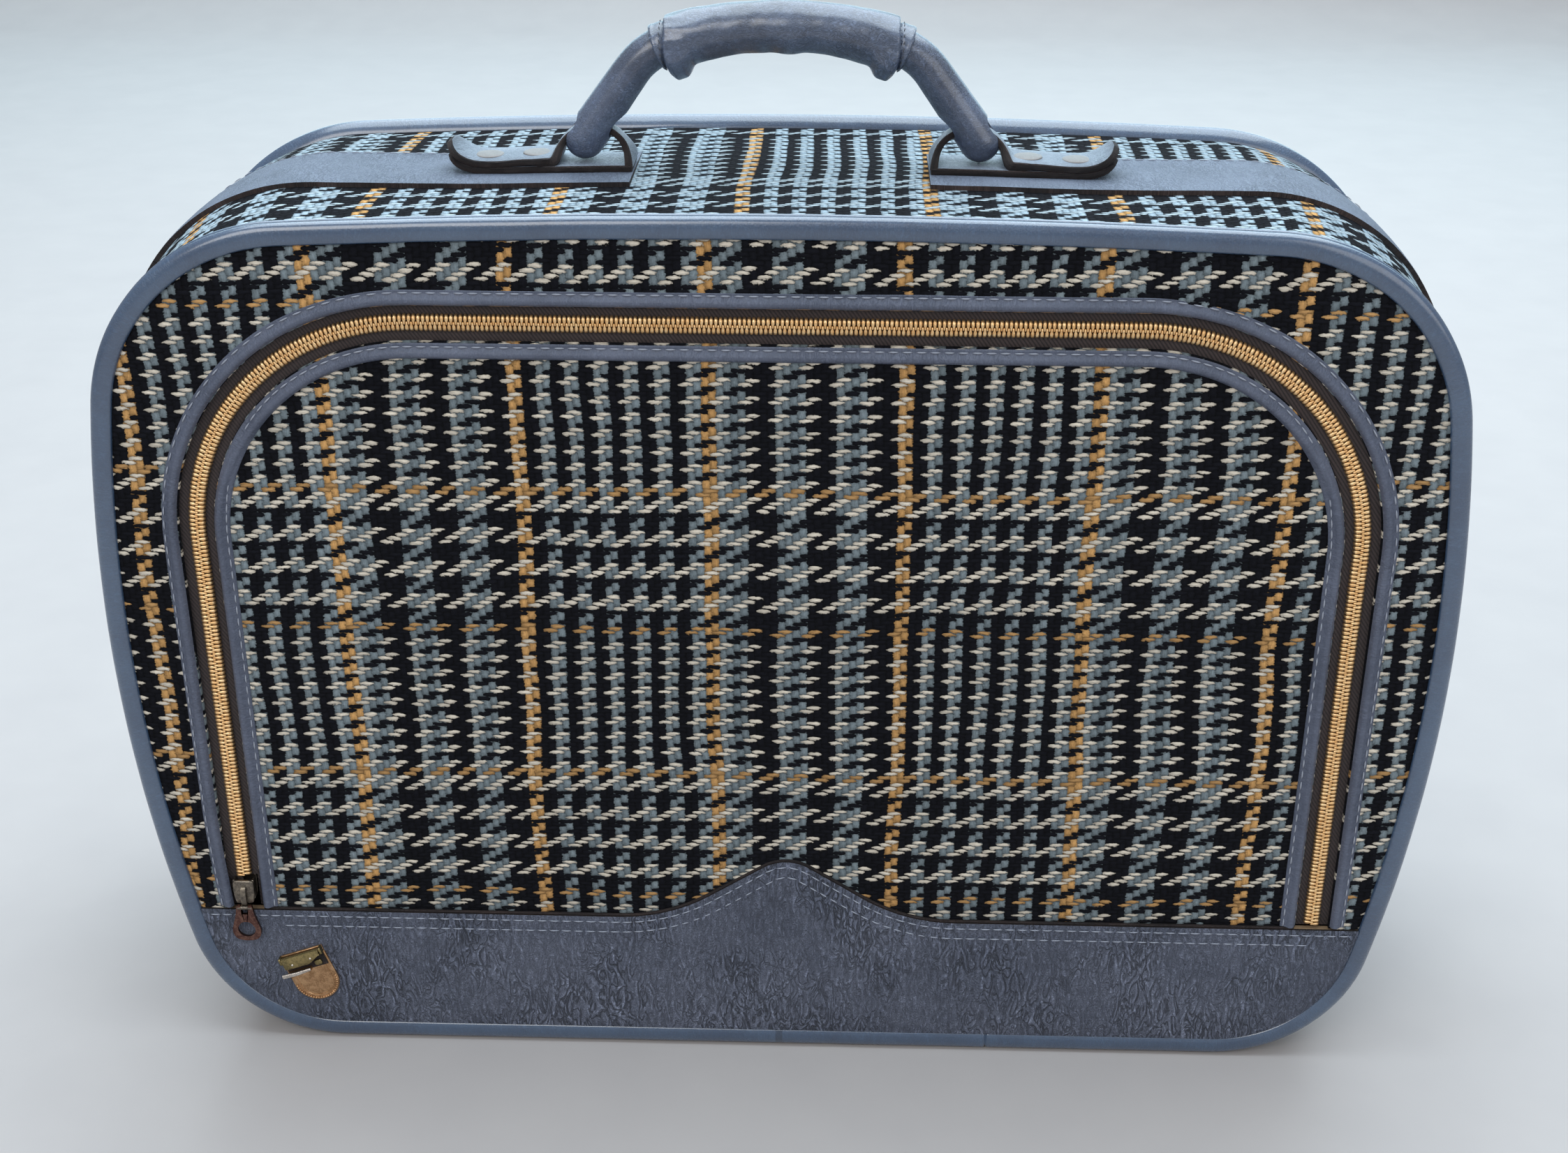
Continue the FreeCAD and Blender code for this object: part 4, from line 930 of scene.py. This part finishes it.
def coil(name, body, node, sign, shift):
    """Half of the zip: one bent loop of gilt monofilament after another."""
    low_left = -ZIP.half + (CHAIN_START - FOLD_Z - 0.35)
    low_right = ZIP.half - (CHAIN_END - FOLD_Z - 0.35)
    s = np.arange(low_left + 0.6 + shift, low_right - 0.5, COIL_PITCH)
    line, radius = COIL_LINE[:, :2], COIL_LINE[:, 2:]
    d = unit(np.gradient(line, axis=0))
    a = circle(6)
    across = line[:, None] + np.stack([-d[:, 1], d[:, 0]], -1)[:, None] * (np.cos(a) * radius)[..., None]
    # the loops are pressed wide, and narrow only where the heads of the two halves meet
    along = np.sin(a)[None] * radius * np.interp(line[:, :1], [0.4, 1.0], [1.05, 1.48])
    p, n = ZIP.at(s)
    tangent = np.stack([n[:, 1], -n[:, 0]], -1)
    xz = (p[:, None] + n[:, None] * (sign * across[..., 0].ravel())[None, :, None]
          + tangent[:, None] * along.ravel()[None, :, None])
    verts = upright(xz, FACE + across[..., 1].ravel())
    one = [list(f) for f in grid_faces(7, 6, False, True)] + [[5, 4, 3, 2, 1, 0], list(range(36, 42))]
    piece(name, body, "zip_chain", verts, copies(one, along.size, len(s)), "coil", sharp=0, replaces=[node])


coil("outer_coil", "case", "outer_zip_chain", 1, 0.0)
coil("inner_coil", "flap", "inner_zip_chain", -1, COIL_PITCH / 2)

PIN_Z, PIN_Y = 67.8, FACE - 3.4


def slider():
    x, z0, z1 = -ZIP_X, max(edge("zip_slider", 0, 2), 69.0), edge("zip_slider", 1, 2)

    def part(name, outline, y0, y1, bevel, replaces=()):
        prism(name, "slider", "zip_metal", outline, y0, y1, "slider", bevel, replaces)

    shape = rounded([(x - 3.6, z0), (x + 3.6, z0), (x + 4.4, z0 + 4), (x + 4.4, z1), (x - 4.4, z1),
                     (x - 4.4, z0 + 4)], [1.2, 1.2, 2, 1.6, 1.6, 2])
    part("slider_front", shape, FACE - 1.9, FACE - 0.25, 0.45, ["zip_slider"])
    part("slider_rear", shape, FACE + 4.3, FACE + 5.5, 0.35)
    for side, word in ((-1, "left"), (1, "right")):
        a, b = sorted((x + side * 3.5, x + side * 4.4))
        part("slider_flange_" + word, rounded([(a, z0 + 2), (b, z0 + 2), (b, z1), (a, z1)], 0.3), FACE - 1.0,
             FACE + 2.3, 0.2)
    t = np.linspace(0, math.pi, 12)
    z, y = PIN_Z + 4.6 + 4.8 * np.cos(t), FACE - 1.6 - 1.5 * np.sin(t) ** 0.8
    w = 1.15
    rings = np.stack([np.stack([0 * t + x + dx, y + dy, z], -1)
                      for dx, dy in ((-w, -0.35), (w, -0.35), (w, 0.45), (-w, 0.45))], 1)
    soften(rod("slider_bridge", "slider", "zip_metal", rings, "slider"), 0.25)
    rod("slider_pin", "slider", "zip_metal", pin(0.8, 3.2, (x, PIN_Y, PIN_Z), 16), "slider")


def pull():
    x, cz = -ZIP_X, 57.4
    outer = rounded([(x - 3.3, 69.0), (x - 1.5, 69.0), (x - 1.5, 64.9), (x + 1.5, 64.9), (x + 1.5, 69.0),
                     (x + 3.3, 69.0), (x + 3.9, 64.6), (x + 6.3, 56.6), (x + 5.0, 52.6), (x, 51.4), (x - 5.0, 52.6),
                     (x - 6.3, 56.6), (x - 3.9, 64.6)],
                    [0.5, 0.4, 0.5, 0.5, 0.4, 0.5, 3, 2.5, 3, 4, 3, 2.5, 3], 6)
    prism("pull_tab", "pull", "zip_metal", outer, PIN_Y - 0.65, PIN_Y + 0.65, "bronze", 0.25, ["zip_pull_tab"],
          hole=(x, cz, 3.7))


slider()
pull()

# ---------------------------------------------------------------- lock
LOCK_X, LOCK_Z, LOCK_TILT = -197.5, 34.0, math.radians(20)
LOCK_PIN_Z = 10.9
LOCK_GROW = 1.08            # the pressed edges stand a little outside the flat plate; measured from the pin


def lock_place(v):
    """From the lock's own upright frame to its tilted place on the vinyl."""
    x = v[..., 0] * LOCK_GROW
    z = LOCK_PIN_Z + (v[..., 2] - LOCK_PIN_Z) * LOCK_GROW
    c, s = math.cos(LOCK_TILT), math.sin(LOCK_TILT)
    return np.stack([LOCK_X + x * c - z * s, v[..., 1] + VINYL_FRONT, LOCK_Z + x * s + z * c], -1)


def shield(half, top, low, n=20):
    a = np.linspace(0, -math.pi, n)
    arc = np.stack([half * np.cos(a), low + half * np.sin(a) * 0.98], -1)
    return np.concatenate([[(half, top)], arc, [(-half, top)]])


def pressed(name, outline, y0, y1, look, bevel, replaces=()):
    """One plate of the lock's fixed part."""
    prism(name, "case", "lock_brass", outline, y0, y1, look, bevel, replaces, place=lock_place)


def bead_chain(name, body, points, radius, look):
    rings = lathe([0.02, 0.6, 0.92, 1.0, 0.85, 0.5, 0.02], [-1, -0.8, -0.4, 0, 0.5, 0.85, 1.0], 8) * radius
    one = rings.reshape(-1, 3)[:, [0, 2, 1]] * (1, 0.8, 1)
    faces = copies(grid_faces(7, 8, False, True).tolist(), len(one), len(points))
    piece(name, body, "lock_brass", lock_place(one + points[:, None]), faces, look, sharp=0)


def cover_low(x):
    """Lower edge of the lock's cover: level, then cut away towards the right."""
    return 6.9 + 2.6 * np.clip((x - 2.2) / 5.0, 0, 1) ** 1.2


def lock():
    pressed("lock_shield", shield(9.1, 12.0, -3.0), -1.1, 0.1, "brass", 0.35, ["lock_plate"])
    rim = shield(8.3, 4.0, -3.0, 80)[1:-1]
    d = lengths(rim)
    at = stations(0, d[-1], 1.05)
    points = np.stack([np.interp(at, d, rim[:, 0]), 0 * at - 1.2, np.interp(at, d, rim[:, 1])], -1)
    bead_chain("lock_rope_border", "case", points, 0.55, "brass")
    bead = upright(shield(6.9, 3.6, -3.0, 40), -1.1)
    a = circle(8)
    out = unit(bead - (0, -1.1, -1.0))
    rings = (bead[:, None] + out[:, None] * (0.3 * np.cos(a))[None, :, None]
             + np.array([0, -1.0, 0]) * (0.3 * np.sin(a))[None, :, None])
    rod("lock_inner_bead", "case", "lock_brass", lock_place(rings), "brass")
    # the dark mouth under the cover: a dark plate of painted shade in the slot; with the fixed lip below it, in paler
    # metal as a painted highlight
    pressed("lock_mouth_shade", [(-8.4, 3.4), (8.4, 3.4), (8.4, 10.4), (-8.4, 10.4)], -1.5, -0.9, "cut", 0.1)
    lip = rounded([(-10.6, 3.5), (-4.6, 3.3), (1.8, 3.9), (1.8, 5.0), (-4.6, 4.9), (-10.6, 5.2)], 0.5)
    pressed("lock_lip", lip, -4.5, -3.3, "lip", 0.3)
    pressed("lock_lip_web", [(-8.3, 3.3), (1.6, 3.3), (1.6, 4.6), (-8.3, 4.6)], -3.5, -0.9, "brass", 0.2)
    pressed("lock_catch", rounded([(3.6, 4.3), (6.6, 4.3), (6.6, 6.6), (3.6, 6.6)], 0.8), -2.4, -1.3, "olive", 0.3)
    for word, a, b in (("left", -9.1, -8.1), ("right", 8.1, 9.1)):
        pressed("lock_ear_" + word, rounded([(a, 9.4), (b, 9.4), (b, 12.2), (a, 12.2)], 0.3), -3.8, -0.9, "olive",
                0.3)
    rod("lock_pin", "case", "lock_brass", lock_place(pin(0.6, 8.6, (0, -2.9, LOCK_PIN_Z), 12)), "olive")
    # the jaw: a rolled barrel and a slightly domed cover, as (height, depth) round its edge
    path = np.array([(11.6, -2.2), (12.05, -2.9), (11.7, -3.75), (10.8, -4.1), (9.6, -4.2), (8.2, -4.35), (7.2, -4.3),
                     (6.9, -4.1), (6.9, -3.8), (7.2, -3.5), (8.2, -3.3), (9.6, -3.2), (9.8, -2.7), (10.0, -2.0),
                     (10.8, -1.75)])
    x = np.concatenate([[-7.9, -7.6], np.linspace(-5, 7.3, 14), [7.6, 7.9]])[:, None]
    tight = np.where(np.abs(x) > 7.7, 0.9, 1.0)
    z = path[:, 0] + (cover_low(x) - 6.9) * np.clip((9.7 - path[:, 0]) / 2.8, 0, 1)
    rings = np.stack([0 * z + x, -3.4 + (path[:, 1] + 3.4) * tight, z], -1)
    rod("lock_cover", "jaw", "lock_brass", lock_place(rings), "olive", replaces=["lock_jaw"])
    bead_chain("lock_cover_studs", "jaw", np.array([(-4.2, -4.3, 8.6), (3.8, -4.25, 9.2)]), 0.5, "lip")


lock()

# ---------------------------------------------------------------- carrying handle
GRIP_TOP, ARCH_R, ARCH_ANGLE, SHOULDER_R, LEG_ANGLE = 417.5, 140.0, 18.0, 28.0, 54.0
PIVOT_DROP, FOOT_DROP, TUBE_R, FOOT_R = 26.2, 32.5, 7.3, 8.0
BORE_R = 4.95


def handle_line():
    """Centre line of the right half of the handle, from the middle to the tip of the foot."""
    a, b = math.radians(ARCH_ANGLE), math.radians(LEG_ANGLE)
    crown = (0.0, GRIP_TOP - ARCH_R)
    shoulder = ((ARCH_R - SHOULDER_R) * math.sin(a), crown[1] + (ARCH_R - SHOULDER_R) * math.cos(a))
    start = (shoulder[0] + SHOULDER_R * math.sin(b), shoulder[1] + SHOULDER_R * math.cos(b))
    leg = FOOT_DROP + FOOT_R
    end = (start[0] + leg * math.cos(b), start[1] - leg * math.sin(b))
    return Track([bend(crown, ARCH_R, math.pi / 2, math.pi / 2 - a),
                  bend(shoulder, SHOULDER_R, math.pi / 2 - a, math.pi / 2 - b),
                  run(start, end, (math.sin(b), math.cos(b)))])


HANDLE = handle_line()
FOOT_S = HANDLE.half - FOOT_R
LEG_S = FOOT_S - FOOT_DROP
PIVOT = HANDLE.at([LEG_S + PIVOT_DROP])[0][0]


def bar(s, radius, round_=28):
    """Rings round the handle's centre line; radius may vary along and round it."""
    p, n = HANDLE.at(s)
    a = circle(round_)
    r = radius * np.ones((len(s), round_))
    return upright(p[:, None] + n[:, None] * (np.cos(a) * r)[..., None], MID + np.sin(a) * r)


def cut_with(o, cutters):
    """Take closed meshes out of a piece and keep the result as its mesh."""
    for c in cutters:
        m = o.modifiers.new("cut", "BOOLEAN")
        m.operation = "DIFFERENCE"
        m.solver = "EXACT"
        m.object = c
    bpy.context.view_layer.update()
    made = bpy.data.meshes.new_from_object(o.evaluated_get(bpy.context.evaluated_depsgraph_get()))
    o.modifiers.clear()
    o.data = made
    for c in cutters:
        bpy.data.objects.remove(c, do_unlink=True)


def handle_tube():
    end = np.sin(np.linspace(0, math.pi / 2, 9)) * FOOT_R
    s = np.concatenate([-FOOT_S - end[::-1], stations(-FOOT_S, FOOT_S, 2.5)[1:-1], FOOT_S + end])
    a = np.abs(s)
    r = TUBE_R + (FOOT_R - TUBE_R) * np.clip((a - LEG_S) / FOOT_DROP, 0, 1)
    r = np.where(a > FOOT_S, np.sqrt(np.maximum(FOOT_R ** 2 - (a - FOOT_S) ** 2, 0.02)), r)
    rings = bar(s, r[:, None])
    centre = upright(HANDLE.at(s)[0], MID)[:, None]
    dent = 1 + (wobble(rings, 22.0, 0.02, 1.0) + wobble(rings, 5.0, 0.008, 4.0))[..., None]
    o = rod("handle_cover", "handle", "tube", centre + (rings - centre) * dent, "handle", sharp=50,
            replaces=["handle_tube"])
    bores = [lathe([BORE_R, BORE_R], [-17, 17])[..., [2, 1, 0]] + (side * PIVOT[0], MID, PIVOT[1])
             for side in (-1, 1)]
    cut_with(o, [rod("bore", None, None, rings, "cut") for rings in bores])
    o.data.set_sharp_from_angle(angle=math.radians(40))


def grip():
    """Padded wrap: smooth on top, gathered underneath where each end is drawn in against its cuff."""
    s = np.concatenate([[-50.2], stations(-50.0, -40.0, 0.4), stations(-39.2, 39.2, 0.8), stations(40.0, 50.0, 0.4),
                        [50.2]])
    round_ = 56
    a = circle(round_)
    along, d, up = s[:, None], np.abs(s)[:, None], np.cos(a)[None]
    crease, end = 45.8 - 2.8 * up, 49.0 - 0.8 * up
    under = np.clip(-up, 0, 1) ** 1.4
    inside = ease(np.clip((crease - d) / 0.8, 0, 1))
    wrap = 9.55 + 0.75 * np.exp(-((d - 36) / 12) ** 2)
    wrap = wrap + 4.0 * np.exp(-((d - 42.6) / 5.2) ** 4) * under
    wrap = wrap + (1.0 * np.exp(-((along - 3) / 5.0) ** 2) + 0.5 * np.exp(-((along + 9) / 4.0) ** 2)) * under
    wrap = wrap - 0.4 * np.exp(-((a[None] - math.pi) / 0.06) ** 2)
    cuff = 8.75 + 0.25 * np.exp(-((d - end + 0.9) / 0.6) ** 2)
    r = cuff + (wrap - cuff) * inside - 0.7 * np.exp(-((d - crease) / 0.45) ** 2)
    r = np.where(d > end, 7.1, r)
    fan = np.sin(a[None] * 9 + along * 0.23 + 2.2 * np.sin(a[None] * 2 + along * 0.11))
    r = r + 0.26 * fan * np.exp(-((d - 42) / 6) ** 2) * inside
    lay = np.stack([along + 0 * r, a[None] * 9 + 0 * r, 0 * r], -1)
    skin = np.stack([along + 0 * r, 9 * up + 0 * r, 9 * np.sin(a)[None] + 0 * r], -1)
    r = r + (wobble(skin / (1, 0.5, 0.5), 11.0, 0.36, 8.0) + wobble(skin, 4.4, 0.14, 3.0)) * inside
    o = rod("grip_cover", "handle", "grip", bar(s, r, round_), "grip", cloth=lay.reshape(-1, 3), sharp=60,
            replaces=["grip_wrap", "grip_padding"])
    # thread along each crease
    a = circle(21)
    for side, word in ((-1, "left"), (1, "right")):
        p, q = HANDLE.at(side * (46.7 - 2.6 * np.cos(a)))
        up = upright(q * np.cos(a)[:, None], np.sin(a))
        stitches("grip_stitches_" + word, "handle", upright(p, MID) + up * 8.78,
                 upright(-q * np.sin(a)[:, None], np.cos(a)), up, "dark_thread", 1.8, 0.22, slot="grip")


handle_tube()
grip()

# ---------------------------------------------------------------- leather tabs and rivets
STRAP_T = 2.6
TAB_W = edge("handle_tab_right", 1, 1) - edge("handle_tab_right", 0, 1)
TAB_SEAT = 2.0              # inset of the strip's face under the tabs
LOOP_W, LOOP_X, LOOP_HALF, LOOP_END = 8.2, 72.85, 14.2, 92.0
RIVETS_X = (95.0, 114.0)
CURL_X, CURL_R = 116.0, 15.0


def strap(name, body, path, width, thick=STRAP_T, replaces=(), seed=0.0):
    """Strap of leather along a path of (x, z) points in its middle, with dark cut edges.
    Width and thickness may vary along it."""
    tangent = unit(np.gradient(path, axis=0))
    normal = np.stack([-tangent[:, 1], tangent[:, 0]], -1)
    w = np.broadcast_to(width, len(path)) / 2
    h = np.broadcast_to(thick, len(path)) / 2
    r = 0.45
    across = np.stack([-w, r - w, w * -0.55, 0 * w, w * 0.55, w - r, w], -1)
    top = np.stack([h - r, h, h + 0.05, h + 0.08, h + 0.05, h, h - r], -1)
    across, rise = np.hstack([across, across[:, ::-1]]), np.hstack([top, -top[:, ::-1]])
    rings = upright(path[:, None] + normal[:, None] * rise[..., None], MID + across)
    rough = wobble(rings, 2.5, 0.3, seed + 5.0) * (np.abs(rings[..., 1] - MID) > w[:, None] - 0.1)
    rings[..., 1] += rough
    rings[..., 2] += wobble(rings, 12.0, 0.18, seed)
    column = np.tile(np.arange(14), len(path) - 1)
    index = np.concatenate([np.isin(column, (0, 5, 6, 7, 12, 13)).astype(int), [1, 1]])
    rod(name, body, "strap", rings, "strap cut", index=index, cloth=ring_cloth(path[:, 0], rings), sharp=50,
        replaces=replaces)


def crown_z(x, inset):
    return HEIGHT - CROWN_R + np.sqrt((CROWN_R - inset) ** 2 - x ** 2)


def evenly(path, step):
    """The same path in even steps, and what is left of it from each point to its end."""
    d = lengths(path)
    at = stations(0, d[-1], step)
    return np.stack([np.interp(at, d, path[:, 0]), np.interp(at, d, path[:, 1])], -1), d[-1] - at


def round_end(left, reach=7.0):
    """Width of a tab whose free end is rounded, from the distance left to its end."""
    u = np.clip(1 - left / reach, 0, 1)
    return TAB_W * np.sqrt(np.maximum(1 - u * u * 0.86, 0.0))


def curl(radius, a0, a1):
    a = np.radians(np.linspace(a0, a1, 10))
    centre = np.array([CURL_X, crown_z(CURL_X, TAB_SEAT - STRAP_T * 1.5) + CURL_R])
    return centre + radius * np.stack([np.sin(a), -np.cos(a)], -1)


def wave(x):
    """The upper layer's slight rise and fall between its rivets."""
    return 0.25 * np.sin((x - 90) / 27 * 2 * math.pi)


def tab(side, word):
    mirror = np.array([side, 1.0])
    level, high = TAB_SEAT - STRAP_T / 2, TAB_SEAT - STRAP_T * 1.5
    # the lower layer lies on the strip; its free end curls up with the upper layer
    x = stations(57.6, CURL_X, 2.0)
    flat = np.stack([x, crown_z(x, level)], -1)
    low, left = evenly(np.concatenate([flat, curl(CURL_R + STRAP_T, 4, 46)]), 1.6)
    strap("tab_strap_" + word, "case", low * mirror, round_end(left), replaces=["handle_tab_" + word],
          seed=side * 3.0)
    # the loop runs up through the foot of the handle and down on to the lower layer
    seat = crown_z(LOOP_X, TAB_SEAT - STRAP_T) - 0.5
    t = np.linspace(math.pi, 0, 40)
    loop = np.stack([LOOP_X + LOOP_HALF * np.cos(t), seat + (PIVOT[1] - seat) * np.sin(t)], -1)
    x = stations(91.0, CURL_X, 2.0)[1:]
    turn = [(loop[-1, 0] + 0.35, seat + 1.9), (loop[-1, 0] + 1.6, seat + 1.3)]
    top = np.stack([x, crown_z(x, high) + wave(x)], -1)
    path, left = evenly(np.concatenate([loop[:-3], turn, top, curl(CURL_R, 6, 58)]), 1.6)
    # narrow where it passes through the handle, full width where it is riveted
    up = ease(np.clip((path[:, 1] - seat) / 9.0, 0, 1))
    looped = path[:, 0] < LOOP_END
    width = np.where(looped, TAB_W + (LOOP_W - TAB_W) * up, round_end(left))
    thick = np.where(looped, np.where(path[:, 0] > LOOP_X, 4.4, 3.2), STRAP_T)
    thick = np.where(looped, thick + (2.4 - thick) * np.clip(up * 1.1, 0, 1), thick)
    thick = np.convolve(np.pad(thick, 2, mode="edge"), np.ones(5) / 5, mode="valid")
    strap("tab_loop_" + word, "case", path * mirror, width, thick, seed=side * 7.0)
    for k, x in enumerate(RIVETS_X):
        top_z = crown_z(x, TAB_SEAT - 2 * STRAP_T) + wave(x) - 0.05
        rings = lathe([0.02, 2.0, 3.8, 5.2, 5.7, 5.8, 5.6], [0.78, 0.76, 0.68, 0.5, 0.3, 0.05, -0.4], 40)
        rings = rings + (side * x, MID, top_z)
        rings[..., 2] += wobble(rings, 3.0, 0.06)
        rod(f"rivet_{word}_{k + 1}", "case", "rivet", rings, "rivet", sharp=0, replaces=["tab_rivets"])


tab(1, "right")
tab(-1, "left")


# ---------------------------------------------------------------- linings
def lining(name, body, grid, back, replaces, size=None, wrap=False, cloth=None):
    panel(name, body, "lining", grid, back, "lining", [replaces], size, wrap, cloth=cloth)


def linings():
    t = np.linspace(0, 1, 24)
    grid = back_grid(6.0, t, LINING_INSET)
    grid[..., 1] = edge("back_lining", 0, 1) + 0.3 + wobble(grid, 30.0, 0.35, 4.0) * (1 - t ** 8)
    lining("lining_back", "case", grid, [0, 0.5, 0], "back_lining", wrap=True)

    grid = flap_grid(FOLD_Z + 0.7, -LINING_OFF_ZIP, 60, 6.0)
    grid[..., 1] = edge("flap_lining", 0, 1) + 0.5 + wobble(grid, 30.0, 0.35, 9.0)
    lining("lining_flap", "flap", grid, [0, -0.5, 0], "flap_lining")

    grid, _, size = border_grid(5.0, 8, LINING_OFF_ZIP, LINING_INSET)
    grid[..., 1] = edge("front_border_lining", 0, 1) + 0.6 + wobble(grid, 25.0, 0.25, 2.0)
    lining("lining_border", "case", grid, [0, -0.5, 0], "front_border_lining", size)

    s = stations(-OUTLINE.half, OUTLINE.half, 5.0)
    y = np.linspace(edge("gusset_lining", 0, 1) + 0.5, edge("gusset_lining", 1, 1) - 0.5, 24)
    p, n = OUTLINE.at(s)
    flat, normal = upright(p[:, None], y), upright(n)[:, None]
    grid = flat + normal * (-8.2 + wobble(flat, 28.0, 0.25, 3.0))[..., None]
    lining("lining_side", "case", grid, normal * 0.4, "gusset_lining", (y[-1] - y[0], s[-1] - s[0]),
           cloth=laid(s, y))


linings()

# ---------------------------------------------------------------- parts kept as they are
KEPT = {"steel": ["front_frame_wire", "rear_frame_wire", "handle_core", "rivet_washers"],
        "board": ["gusset_board", "handle_plate", "base_stiffener", "front_base_board", "back_board"],
        "tape": ["outer_zip_tape", "inner_zip_tape"], "brass": ["lock_studs"]}
for look, nodes in KEPT.items():
    for node in nodes:
        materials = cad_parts[node].data.materials
        materials.clear()
        materials.append(M[look])


# ---------------------------------------------------------------- floor, light and camera
FLOOR_Z = -0.0004           # just under the case, so that the two do not flicker


def floor():
    """Flat floor that curves up into a wall far behind, in metres."""
    n = 40
    verts = []
    for t in np.linspace(0, 1, n):
        if t < 0.6:
            y, z = -2.5 + t / 0.6 * 4.5, FLOOR_Z
        else:
            a = (t - 0.6) / 0.4 * math.pi / 2
            y, z = 2.0 + math.sin(a) * 1.2, FLOOR_Z + (1 - math.cos(a)) * 3.0
        verts += [(-5, y, z), (5, y, z)]
    me = bpy.data.meshes.new("floor")
    me.from_pydata(verts, [], [(2 * k, 2 * k + 1, 2 * k + 3, 2 * k + 2) for k in range(n - 1)])
    me.polygons.foreach_set("use_smooth", np.ones(len(me.polygons), bool))
    look = Look("studio_paper", coords="object", roughness=0.9)
    fibre = look.noise((0.02, 0.02, 0.02), 3.0)
    me.materials.append(look.done(look.mix(fibre, srgb(174, 170, 169), srgb(166, 162, 162)), fibre, 0.2))
    o = bpy.data.objects.new("floor", me)
    bpy.context.scene.collection.objects.link(o)


def lamp(name, size, energy, place, aim, colour):
    data = bpy.data.lights.new(name, "AREA")
    data.shape = "RECTANGLE"
    data.size, data.size_y = size
    data.energy = energy
    data.color = colour
    o = bpy.data.objects.new(name, data)
    o.location = place
    o.rotation_euler = (Vector(aim) - Vector(place)).to_track_quat("-Z", "Y").to_euler()
    bpy.context.scene.collection.objects.link(o)


floor()
# the overhead and rear lamps are bluish: they stand in for a blue wall mirrored in the upper surfaces
lamp("overhead", (2.4, 2.5), 86, (0.1, 0.6, 1.9), (0.05, 0.35, 0.25), (0.80, 0.92, 1.0))
lamp("rear", (3.2, 1.3), 25, (0.1, 2.0, 0.95), (0, 0.05, 0.35), (0.58, 0.87, 1.0))
lamp("key", (1.6, 1.2), 26, (-0.9, -1.9, 1.7), (0, 0, 0.2), (1.0, 0.985, 0.96))
lamp("fill", (1.8, 1.4), 12, (1.6, -1.6, 1.1), (0, 0, 0.15), (1.0, 0.99, 0.97))

world = bpy.data.worlds.new("studio")
world.use_nodes = True
world.node_tree.nodes["Background"].inputs["Color"].default_value = (0.92, 0.95, 1.0, 1)
world.node_tree.nodes["Background"].inputs["Strength"].default_value = 0.4
bpy.context.scene.world = world
bpy.context.scene.view_settings.view_transform = "Standard"

camera = bpy.data.cameras.new("camera")
camera.lens, camera.sensor_width, camera.sensor_fit = 47.46, 36.0, "HORIZONTAL"
camera.clip_start, camera.clip_end = 0.02, 50
view = bpy.data.objects.new("camera", camera)
right, up = Vector((0.99948, 0.03238, 0.00087)), Vector((-0.01492, 0.43616, 0.89975))
turned = Matrix((right, up, right.cross(up))).transposed().to_4x4()
turned.translation = Vector((0.0263, -0.7906, 0.571))
view.matrix_world = turned
bpy.context.scene.collection.objects.link(view)
bpy.context.scene.camera = view
